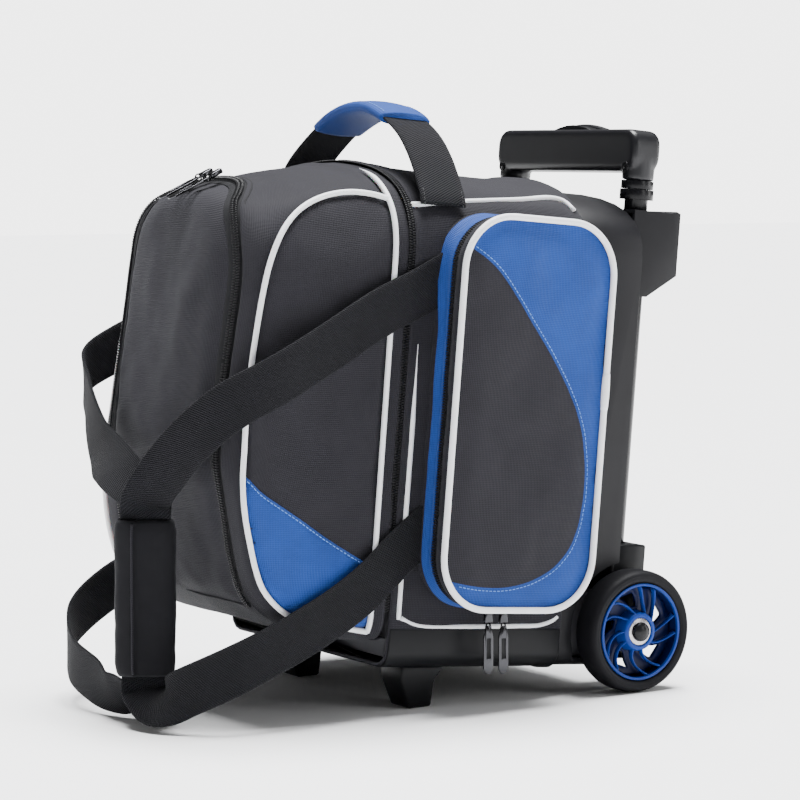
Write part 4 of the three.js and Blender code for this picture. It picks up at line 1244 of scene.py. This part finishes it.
def pocket_walls(side, sign):
    """The gusset, blue in front and black behind, the skirt at its root, and the band round the door."""
    blue = wall_loft(f"pocket_{side}_gusset_blue", sign, GUSSET, lambda p: p[1] < BLUE_FROM_Y, blue_from)
    finished(thickened(blue, THIN_CLOTH), "blue_fabric", "bag", [f"pocket_gusset_{side}"])
    black = wall_loft(f"pocket_{side}_gusset_black", sign, GUSSET, lambda p: p[1] > BLUE_FROM_Y - 3.5)
    finished(thickened(black, THIN_CLOTH), "black_fabric", "bag")
    skirt = wall_loft(f"pocket_{side}_skirt", sign, SKIRT, end=lambda z: blue_from(z) + 1.5)
    finished(thickened(skirt, THIN_CLOTH), "black_fabric", "bag")
    band = wall_loft(f"pocket_{side}_band", sign, BAND)
    finished(thickened(band, THIN_CLOTH), "black_fabric", f"pocket_door_{side}")


def side_pocket(side, sign):
    """A side pocket: its walls, the zip between its two bodies, its piping and its face."""
    body = f"pocket_door_{side}"
    pocket_walls(side, sign)
    line, normals = pocket_ring(sign, POCKET_ZIP_X, 1.4, 2.1)
    zip_tape = tape(f"pocket_{side}_tape", line - normals * 1.5, normals, "bag", 9.5, closed=True)
    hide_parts(f"pocket_zip_{side}")
    zip_teeth(f"pocket_{side}_teeth_bag", line, normals, "bag", sign, closed=True)
    zip_teeth(f"pocket_{side}_teeth_door", line, normals, body, -sign, closed=True)
    edge, edge_normals = pocket_ring(sign, POCKET_FACE, 1.0)
    facing = unit(edge_normals + np.array([sign * 0.8, 0, 0]))
    piping(f"pocket_{side}_piping", edge, facing, body, closed=True, radius=POCKET_PIPING)
    splice = edge[(edge[:, 1] > POCKET_HIGH[1] - 3) & (edge[:, 2] > 228) & (edge[:, 2] < 262)]
    splice_normals = np.tile(unit(np.array([[sign * 0.8, 1.0, 0]])), (len(splice), 1))
    sleeve = 1 + 0.32 * np.sin(np.linspace(0.35, math.pi - 0.35, len(splice)))
    piping(f"pocket_{side}_splice", splice, splice_normals, body, radius=POCKET_PIPING, size=sleeve)
    pocket_face(side, sign)


for side, sign in SIDES:
    side_pocket(side, sign)

# ---- Carry straps and their wrap -----------------------------------------------------------------
STRAP_WIDTH, STRAP_THICKNESS = 38.0, 2.4
WRAP = {"x": 41, "y": -401, "bottom": 38, "top": 159, "width": 44, "depth": 17, "layer": 2.8}
WRAP_SIDE = np.array([0.545, 0.839, 0])
WRAP_FACE = np.array([0.839, -0.545, 0])
UP, DOWN = (0, 0, 1), (0, 0, -1)


def through_wrap(side):
    """The stretch of a strap inside the wrap: (place, the way its width points) at each stop."""
    top, bottom = WRAP["top"], WRAP["bottom"]
    made = []
    for z, spread in (
        (top + 13, 1.6), (top + 2, 1), (top - 20, 1), (bottom + 20, 1), (bottom - 2, 1), (bottom - 11, 1.9),
    ):
        shift = side * spread * WRAP["layer"] * WRAP_FACE
        made.append(((WRAP["x"] + shift[0], WRAP["y"] + shift[1], z), tuple(-side * WRAP_SIDE)))
    return made


def facing(way, *points):
    """Stops of a strap whose width points one way."""
    return [(point, way) for point in points]


def mirrored(stops):
    """The same stops on the other side of the bag."""
    return [((-x, y, z), way) for (x, y, z), way in stops]


STRAP_TOP = facing(UP, (120.6, -174, 344), (122.4, -203, 331), (126, -240, 317))
STRAP_END = facing(DOWN, (122.6, -218, 132), (120.6, -186, 152))
STRAPS = {
    "right": [
        *STRAP_TOP, *facing(UP, (128, -290, 291), (127, -335, 268)),
        ((116, -368, 250), (-0.15, -0.3, 1)), ((95, -385, 229), (-0.3, -0.4, 0.85)),
        ((72, -395, 206), (-0.45, -0.6, 0.6)), *through_wrap(1), ((72, -406, 21), (-0.4, -0.5, -0.7)),
        *facing(DOWN, (96, -396, 33), (120, -369, 50), (129, -315, 74), (128, -262, 101)), *STRAP_END,
    ],
    "left": [
        *mirrored(STRAP_TOP), *facing(UP, (-128, -290, 296), (-127, -335, 279)),
        ((-116, -370, 262), (0.15, -0.1, 1)), ((-92, -381, 240), (0.3, -0.1, 0.9)),
        ((-55, -391, 210), (0.5, 0.1, 0.8)), ((2, -403, 192), (0.55, 0.7, 0.4)), *through_wrap(-1),
        ((6, -411, 20), (0.5, 0.4, -0.6)),
        *facing(DOWN, (-25, -414, 27), (-65, -412, 38), (-105, -390, 58), (-125, -345, 82)),
        *facing(DOWN, (-128, -280, 106)), *mirrored(STRAP_END),
    ],
}


def strap(side):
    """One carry strap, which bends next to its two sewn ends."""
    stops = STRAPS[side]
    at = np.linspace(0, len(stops) - 1, 260)
    line = through([s[0] for s in stops], at)
    width = unit(through([s[1] for s in stops], at))
    along = tangents(line)
    width = unit(width - along * (width * along).sum(1, keepdims=True))
    normals = np.cross(along, width)
    line, normals = upright(line), unit(upright(line + normals) - upright(line))
    obj = sweep(f"strap_{side}", line, normals, slab(STRAP_WIDTH, STRAP_THICKNESS, 12))
    finished(obj, "webbing", None, [f"strap_{side}"])
    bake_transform(obj)


def wrap():
    """The padded wrap: one turn of cloth whose free edge overlaps its start."""
    stops, sides = 46, 96
    angle = np.linspace(0, 2 * math.pi, sides, endpoint=False)
    start = math.radians(98)
    turn = ((angle - start) % (2 * math.pi)) / (2 * math.pi)
    rows = []
    for z in np.linspace(WRAP["bottom"], WRAP["top"], stops):
        end = min(z - WRAP["bottom"], WRAP["top"] - z)
        grown = 1.2 * (1 - math.exp(-((end / 6) ** 2))) - 1.4 * math.exp(-((end / 1.6) ** 2))
        lift = grown + 2.3 * (1 - turn)
        a = np.sign(np.cos(angle)) * abs(np.cos(angle)) ** 0.55 * (WRAP["width"] / 2 - 1 + lift)
        b = np.sign(np.sin(angle)) * abs(np.sin(angle)) ** 0.8 * (WRAP["depth"] / 2 - 1 + lift)
        middle = np.array([WRAP["x"], WRAP["y"], z])
        rows.append(middle + a[:, None] * WRAP_SIDE + b[:, None] * WRAP_FACE)
    grid = np.array(rows)
    lap = int(np.argmin(turn))
    hem = upright(even(grid[1:-1, lap], 2.0))
    middle = np.array([WRAP["x"], WRAP["y"], 0])
    away = unit((grid - middle) * (1, 1, 0)).reshape(-1, 3)
    grid = ruffle(grid.reshape(-1, 3), away, 0.9, 28, 9)
    obj = skin("strap_wrap_cloth", upright(grid).reshape(stops, sides, 3), around=True)
    centres = np.array([tuple(p.center) for p in obj.data.polygons])
    turned(obj, (centres - place(upright(middle))) * (1, 1, 0))
    finished(thickened(obj, 3.0), "wrap_fabric", "carry_strap_right", ["strap_wrap"])
    out = np.tile(WRAP_FACE, (len(hem), 1))
    bead = sweep("strap_wrap_hem", hem + out * 0.3, out, disc(1.0, 10))
    finished(bead, "black_fabric", "carry_strap_right")


for side, _ in SIDES:
    strap(side)
wrap()

# ---- Carry handle --------------------------------------------------------------------------------
CARRY_Y, CARRY_WIDTH, CARRY_THICKNESS = -205.0, 42.0, 2.4
CARRY_ARCH = [
    (113.4, 381), (111.4, 388), (106, 397), (98.5, 408), (89, 420), (73, 435), (50, 448), (24, 456.5),
    (0, 457), (-24, 452), (-50, 441), (-73, 427), (-89, 415), (-98.5, 405), (-106, 395.5), (-111.4, 387),
    (-113.4, 380),
]
CARRY_GRIP_HALF = 52.0
CARRY_EDGES = ((2, -1), (1, 1))  # the number and the side of each line of stitches along the webbing


def carry_handle():
    """The webbing over the top with its padded grip, sewn to a tab at each end."""
    line = smooth_line([(x, CARRY_Y, z) for x, z in CARRY_ARCH], 2.5)
    normals = outward(np.cross(tangents(line), FORWARD), line - np.array([0, CARRY_Y, 300]))
    obj = sweep("carry_webbing_cloth", line, normals, slab(CARRY_WIDTH, CARRY_THICKNESS, 12))
    finished(obj, "webbing", None, ["carry_webbing", "carry_tab_right", "carry_tab_left"])
    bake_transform(obj)
    held = (abs(line[:, 0]) < CARRY_GRIP_HALF) & (line[:, 2] > 425)
    core, outs = line[held], averaged(normals[held], 4)
    size = 1 - 0.05 * np.linspace(-1, 1, len(core)) ** 6
    grip = sweep("carry_grip_pad", core, outs, slab(CARRY_WIDTH + 7, 7.4, 18, swell=2.4), scale=size)
    finished(grip, "blue_fabric", "carry_handle", ["carry_grip"])
    across = unit(np.cross(tangents(core), outs))
    for number, edge in CARRY_EDGES:
        seam = core + across * edge * (CARRY_WIDTH / 2 - 1.5) + outs * 4.3
        stitches(f"carry_grip_stitches_{number}", seam[2:-2], outs[2:-2], "carry_handle", "blue_thread")
    for side, sign in SIDES:
        low = (line[:, 0] * sign > 0) & (line[:, 2] < 396)
        root, out = line[low], normals[low]
        width = unit(np.cross(tangents(root), out))
        for number, edge in CARRY_EDGES:
            seam = root + width * edge * (CARRY_WIDTH / 2 - 3) + out * 1.3
            stitches(f"carry_tab_{side}_stitches_{number}", seam, out, "bag")


carry_handle()

# ---- Hard pieces ---------------------------------------------------------------------------------
BODY_OF = {node: body for body, nodes in frame["record"]["behaviour"]["bodies"].items() for node in nodes}


def refined(node, paint, bevel, segments=2):
    """A copy of a CAD piece with rounded edges."""
    obj = linked(f"{node}_finish", frame["nodes"][node].data.copy())
    weld = obj.modifiers.new("weld", "WELD")
    weld.merge_threshold = 0.02 * MM
    flat = obj.modifiers.new("flat", "DECIMATE")
    flat.decimate_type = "DISSOLVE"
    flat.angle_limit = math.radians(0.6)
    edge = obj.modifiers.new("edge", "BEVEL")
    edge.width = bevel * MM
    edge.segments = segments
    edge.limit_method = "ANGLE"
    edge.angle_limit = math.radians(32)
    edge.use_clamp_overlap = True
    applied(obj)
    obj.data.polygons.foreach_set("use_smooth", [True] * len(obj.data.polygons))
    obj.data.set_sharp_from_angle(angle=math.radians(40))
    return finished(obj, paint, BODY_OF[node], [node])


def melted(node, paint, grain, rounds):
    """A copy of a CAD piece with all its edges run soft, as a thick moulding has."""
    obj = linked(f"{node}_finish", frame["nodes"][node].data.copy())
    remesh = obj.modifiers.new("even", "REMESH")
    remesh.mode = "VOXEL"
    remesh.voxel_size = grain * MM
    remesh.use_smooth_shade = True
    soften = obj.modifiers.new("soften", "SMOOTH")
    soften.factor = 0.6
    soften.iterations = rounds
    applied(obj)
    obj.data.polygons.foreach_set("use_smooth", [True] * len(obj.data.polygons))
    return finished(obj, paint, BODY_OF[node], [node])


def hard_pieces():
    """The moulded and turned pieces, and the cradle."""
    refined("back_shell", "shell_plastic", 2.4, 3)
    refined("handle_housing", "shell_plastic", 1.5, 3)
    refined("base_tray", "plastic", 3.0, 3)
    refined("axle", "axle_steel", 0.5)
    refined("release_button", "plastic", 1.2)
    melted("grip", "grip_plastic", 1.3, 9)
    for side, _ in SIDES:
        refined(f"foot_{side}", "plastic", 2.2, 3)
        refined(f"wheel_housing_{side}", "plastic", 1.4)
        refined(f"bearing_{side}", "bearing_steel", 0.4)
        for piece in ("outer_tube", "stage_one", "stage_two"):
            refined(f"{piece}_{side}", "tube", 0.25)
    for node in frame["nodes"]:
        if node.endswith("_pull"):
            refined(node, "metal", 0.35)
        if node.endswith("_slider"):
            refined(node, "metal", 0.9)
    cradle = refined("ball_cradle", "foam", 1.5)


hard_pieces()


# ---- Wheels --------------------------------------------------------------------------------------
WHEEL_X = abs(JOINTS["wheel_right_spin"]["pos_m"][0]) / MM
HUB = (0, AXLE[2])  # (y, z)
RIM_RADIUS, WEB_RADIUS = 39.6, 37.4
SPOKE_START, SPOKE_END = 14, 37  # radii
WINDOWS = 5
LEADING_SWEEP, TRAILING_SWEEP = 0.45, 0.65  # radians that a spoke leads round by from hub to rim
# Half of the tyre's outline, (radius, along) from its bead to the middle of its tread.
TREAD = [
    (RIM_RADIUS + 0.1, 10.6), (42, 12.3), (44, 13.2), (44.6, 12.9), (45.2, 13.4), (47, 12.9), (48.6, 11.2),
    (49.6, 8.2), (50, 4.5),
]
BARREL = [(37.4, 2), (37.6, 11), (RIM_RADIUS, 11.4), (RIM_RADIUS, -11.4), (37.6, -11), (37.4, -2)]
LIP = [(37.2, 9.6), (37.4, 12.2), (RIM_RADIUS, 12.2), (RIM_RADIUS, 9.6)]
HUB_SLEEVE = [(11.3, -9.5), (15.8, -9.5), (17.2, 0), (15.4, 10.4), (13.4, 11.4), (11.3, 11.2)]


def lathe(name, sign, profile):
    """A closed (radius, along) profile turned about the axle."""
    radius, along = np.array(profile, float).T
    rows = []
    for a in np.linspace(0, 2 * math.pi, 96, endpoint=False):
        y, z = HUB[0] + radius * math.cos(a), HUB[1] + radius * math.sin(a)
        rows.append(np.column_stack([sign * (WHEEL_X + along), y, z]))
    obj = skin(name, rows, around=True, along=True)
    away = (middles(obj) - (0, *HUB)) * (0, 1, 1)
    reach = np.linalg.norm(away, axis=1)
    return turned(obj, away * (reach > reach.max() - 0.1)[:, None])


def spoke_place(swept, start, r):
    """A spoke's (y, z) at a radius: it starts at an angle and leads round as it goes out."""
    at = start + swept * ((r - 12) / 25) ** 1.2
    return HUB[0] + r * np.cos(at), HUB[1] + r * np.sin(at)


def rounded_profile(points, radius=1.0):
    """A closed profile with its corners cut by small arcs."""
    points = np.array(points, float)
    made = []
    for before, p, after in zip(np.roll(points, 1, 0), points, np.roll(points, -1, 0)):
        cut = min(radius, 0.45 * np.linalg.norm(before - p), 0.45 * np.linalg.norm(after - p))
        a, b = p + unit(before - p) * cut, p + unit(after - p) * cut
        for t in (0, 0.33, 0.67, 1):
            made.append((1 - t) ** 2 * a + 2 * t * (1 - t) * p + t**2 * b)
    return np.array(made)


def wheel_web(side, sign):
    """The dished disc between hub and rim, with a window between each two pairs of spokes."""
    holes = [arc(HUB, 14.5, 0, 360, 33)[:-1]]
    for i in range(WINDOWS):
        start = i / WINDOWS * 2 * math.pi
        leading = [spoke_place(LEADING_SWEEP, start + 0.1, r) for r in np.linspace(19.5, 31, 8)]
        trailing = [spoke_place(TRAILING_SWEEP, start + 0.42, r) for r in np.linspace(31, 19.5, 8)]
        holes.append(even(np.vstack([leading, trailing, leading[:1]]), 2)[:-1])
    flat, faces = filled(arc(HUB, WEB_RADIUS, 0, 360, 97)[:-1], 2.6, holes)
    dish = WHEEL_X - 1.0 + 2.2 * np.hypot(*(flat - HUB).T) / 40
    web = mesh_object(f"rim_{side}_web", np.column_stack([sign * dish, flat]), faces)
    # painted shade: the web takes the much darker blue, as shade in the recess behind the spokes
    finished(thickened(turned(web, (sign, 0, 0)), 3.2), "rim_web", f"wheel_{side}")


def spokes(side, sign):
    """Swept spokes in pairs, one on each side of a window."""
    r = np.linspace(SPOKE_START, SPOKE_END, 26)
    share = (r - SPOKE_START) / (SPOKE_END - SPOKE_START)
    x = sign * (WHEEL_X + 7.2 - 3.2 * np.sin(share * math.pi) + 0.8 * share)
    size = 1 + 0.25 * np.abs(np.linspace(-1, 1, len(r))) ** 3
    out = np.tile([float(sign), 0, 0], (len(r), 1))
    for i in range(WINDOWS):
        start = i / WINDOWS * 2 * math.pi
        for k, (swept, offset) in enumerate(((LEADING_SWEEP, -0.06), (TRAILING_SWEEP, 0.6))):
            line = np.column_stack([x, *spoke_place(swept, start + offset, r)])
            spoke = sweep(f"rim_{side}_spoke_{2 * i + k}", line, out, disc(1, 10) * (0.9, 2.6), scale=size)
            finished(spoke, "rim", f"wheel_{side}")


def wheel(side, sign):
    """A tyre on a rim of barrel, lip, hub, web and spokes."""
    body = f"wheel_{side}"
    tyre = TREAD + [(50, 0)] + [(r, -along) for r, along in TREAD[::-1]]
    finished(lathe(f"tyre_{side}_tread", sign, tyre), "rubber", body, [f"tyre_{side}"])
    # painted shade: the barrel under the tyre takes the same darker blue
    finished(lathe(f"rim_{side}_barrel", sign, rounded_profile(BARREL)), "rim_web", body, [f"rim_{side}"])
    finished(lathe(f"rim_{side}_lip", sign, rounded_profile(LIP, 0.5)), "rim", body)
    finished(lathe(f"rim_{side}_hub", sign, rounded_profile(HUB_SLEEVE)), "rim", body)
    wheel_web(side, sign)
    spokes(side, sign)


for side, sign in SIDES:
    wheel(side, sign)


# ---- Small pieces --------------------------------------------------------------------------------
def ring_piece(name, centre, radius, wire, facing, body, paint="metal"):
    """A wire ring."""
    facing = unit(np.array(facing, float))
    side = unit(np.cross(facing, (0.3, 0.5, 0.81)))
    other = np.cross(facing, side)
    flat = arc((0, 0), radius, 0, 360, 29)[:-1]
    line = centre + flat[:, :1] * side + flat[:, 1:] * other
    normals = unit(line - centre)
    return finished(sweep(name, line, normals, disc(wire, 8), closed=True), paint, body)


def pull_rings():
    """The loop on each slider that its pull hangs from."""
    for joint in frame["joints"]:
        if joint["name"].endswith("_pull_swing"):
            pull = joint["child"]
            centre = bag_points([joint["pos_m"]])[0]
            body = BODY_OF[pull.replace("_pull", "_slider")]
            ring_piece(f"{pull}_loop", centre, 2.6, 0.65, joint["axis"], body)


SKID = {"x": (40, 112), "y": (-82, -58), "top": 22.5, "bottom": 16.5}


def skid(side, sign):
    """A low rubbing block under the tray, in front of the wheel."""
    (x0, x1), (y0, y1) = SKID["x"], SKID["y"]
    rows = []
    for z, inset in ((SKID["top"], -2), (SKID["bottom"] + 1, 4), (SKID["bottom"], 5)):
        loop = even(rounded_loop(x0 + inset, x1 - inset, y0 + inset, y1 - inset, 3, 2), count=48)
        rows.append([(sign * x, y, z) for x, y in loop])
    obj = skin(f"skid_{side}", rows, around=True, caps=True)
    if sign > 0:
        obj.data.flip_normals()
    finished(obj, "plastic", "bag")


SCREW_X, SCREW_Y, SCREW_Z = 88.0, -11.2, 427.5
HOOD_HALF = 36  # across the grip


def grip_screw(side, sign):
    """The screw in one of the grip's legs, in its ring."""
    spot = np.array([sign * SCREW_X, SCREW_Y, SCREW_Z])
    ring_piece(f"grip_screw_{side}_rim", spot, 3.6, 0.7, FORWARD, BODY_OF["grip"], "axle_steel")
    angles = np.linspace(0, 2 * math.pi, 20)[:-1]
    head = [
        [spot + (r * math.cos(a), y, r * math.sin(a)) for a in angles]
        for r, y in ((3.2, 0.2), (2.9, -0.5), (0.4, -0.7))
    ]
    finished(skin(f"grip_screw_{side}", head, around=True), "axle_steel", BODY_OF["grip"])


def grip_hood():
    """The low hood over the grip's button."""
    x = np.linspace(-HOOD_HALF, HOOD_HALF, 40)
    z = 456.6 + 5.6 * np.cos(x / HOOD_HALF * math.pi / 2) ** 0.9
    line = np.column_stack([x, np.full(len(x), 11.0), z])
    hood = sweep("grip_hood", line, np.tile([0, 0, 1.0], (len(x), 1)), slab(9, 5, 8, swell=0.4))
    finished(hood, "grip_plastic", BODY_OF["grip"])


pull_rings()
for side, sign in SIDES:
    grip_screw(side, sign)
grip_hood()
for side, sign in SIDES:
    skid(side, sign)

# ---- Stage ---------------------------------------------------------------------------------------
CAMERA_PLACE = (2.0469, -1.2956, 0.4405)
CAMERA_AZIMUTH, CAMERA_ELEVATION = math.radians(56.96), math.radians(4.79)
CAMERA_LENS, SENSOR = 134.1, 36.0
WORLD_LIGHT, BACKDROP, SUN_STRENGTH = 0.15, 4.3, 14.0


# Name, place, size and power of each softbox; all face the bag's middle.
SOFTBOXES = [
    ("key", (0.6, -2.6, 1.9), (1.2, 1.0), 2),
    ("side", (2.2, 1.4, 1.0), (0.5, 1.4), 14),
    ("behind", (1.1, 2.7, 0.9), (0.6, 1.6), 26),
]
BAG_MIDDLE = Vector((0, 0, 0.22))
FLOOR_REACH, FLOOR_DROP = 12.0, 0.0002


def camera():
    """Stands where the bag is seen from its right front, low down."""
    data = bpy.data.cameras.new("camera")
    data.lens, data.sensor_width = CAMERA_LENS, SENSOR
    obj = linked("camera", data)
    obj.location = CAMERA_PLACE
    obj.rotation_euler = (math.pi / 2 - CAMERA_ELEVATION, 0, CAMERA_AZIMUTH)
    bpy.context.scene.camera = obj


def aimed(obj, way):
    """Turns a light to shine along a direction."""
    obj.rotation_euler = way.to_track_quat("-Z", "Y").to_euler()


def softbox(name, place_at, size, power):
    """A rectangular light that faces the bag."""
    data = bpy.data.lights.new(name, "AREA")
    data.shape = "RECTANGLE"
    data.size, data.size_y = size
    data.energy = power
    obj = linked(name, data)
    obj.location = place_at
    aimed(obj, BAG_MIDDLE - Vector(place_at))


def white_floor():
    """A floor that reaches past the camera's view."""
    mesh = bpy.data.meshes.new("floor")
    corners = [(x * FLOOR_REACH, y * FLOOR_REACH, 0) for x, y in ((-1, -1), (1, -1), (1, 1), (-1, 1))]
    mesh.from_pydata(corners, [], [(0, 1, 2, 3)])
    floor = linked("floor", mesh)
    mesh.materials.append(stage_white("floor", (0.93, 0.93, 0.93)))
    floor.location.z = -FLOOR_DROP


def backdrop():
    """A white world that is bright to the camera and lights the bag only a little."""
    world = bpy.data.worlds.new("studio")
    bpy.context.scene.world = world
    world.use_nodes = True
    tree = world.node_tree
    background = tree.nodes["Background"]
    background.inputs["Color"].default_value = (1, 1, 1, 1)
    seen = tree.nodes.new("ShaderNodeLightPath").outputs["Is Camera Ray"]
    strength = tree.nodes.new("ShaderNodeMapRange")
    strength.inputs["To Min"].default_value = WORLD_LIGHT
    strength.inputs["To Max"].default_value = BACKDROP
    tree.links.new(seen, strength.inputs["Value"])
    tree.links.new(strength.outputs[0], background.inputs["Strength"])


def overhead():
    """A broad light from above."""
    sun = bpy.data.lights.new("sun", "SUN")
    sun.energy, sun.angle, sun.color = SUN_STRENGTH, math.radians(36), (0.985, 0.99, 1)
    aimed(linked("sun", sun), Vector((0.1, -0.12, -1)))


camera()
white_floor()
backdrop()
overhead()
for box in SOFTBOXES:
    softbox(*box)
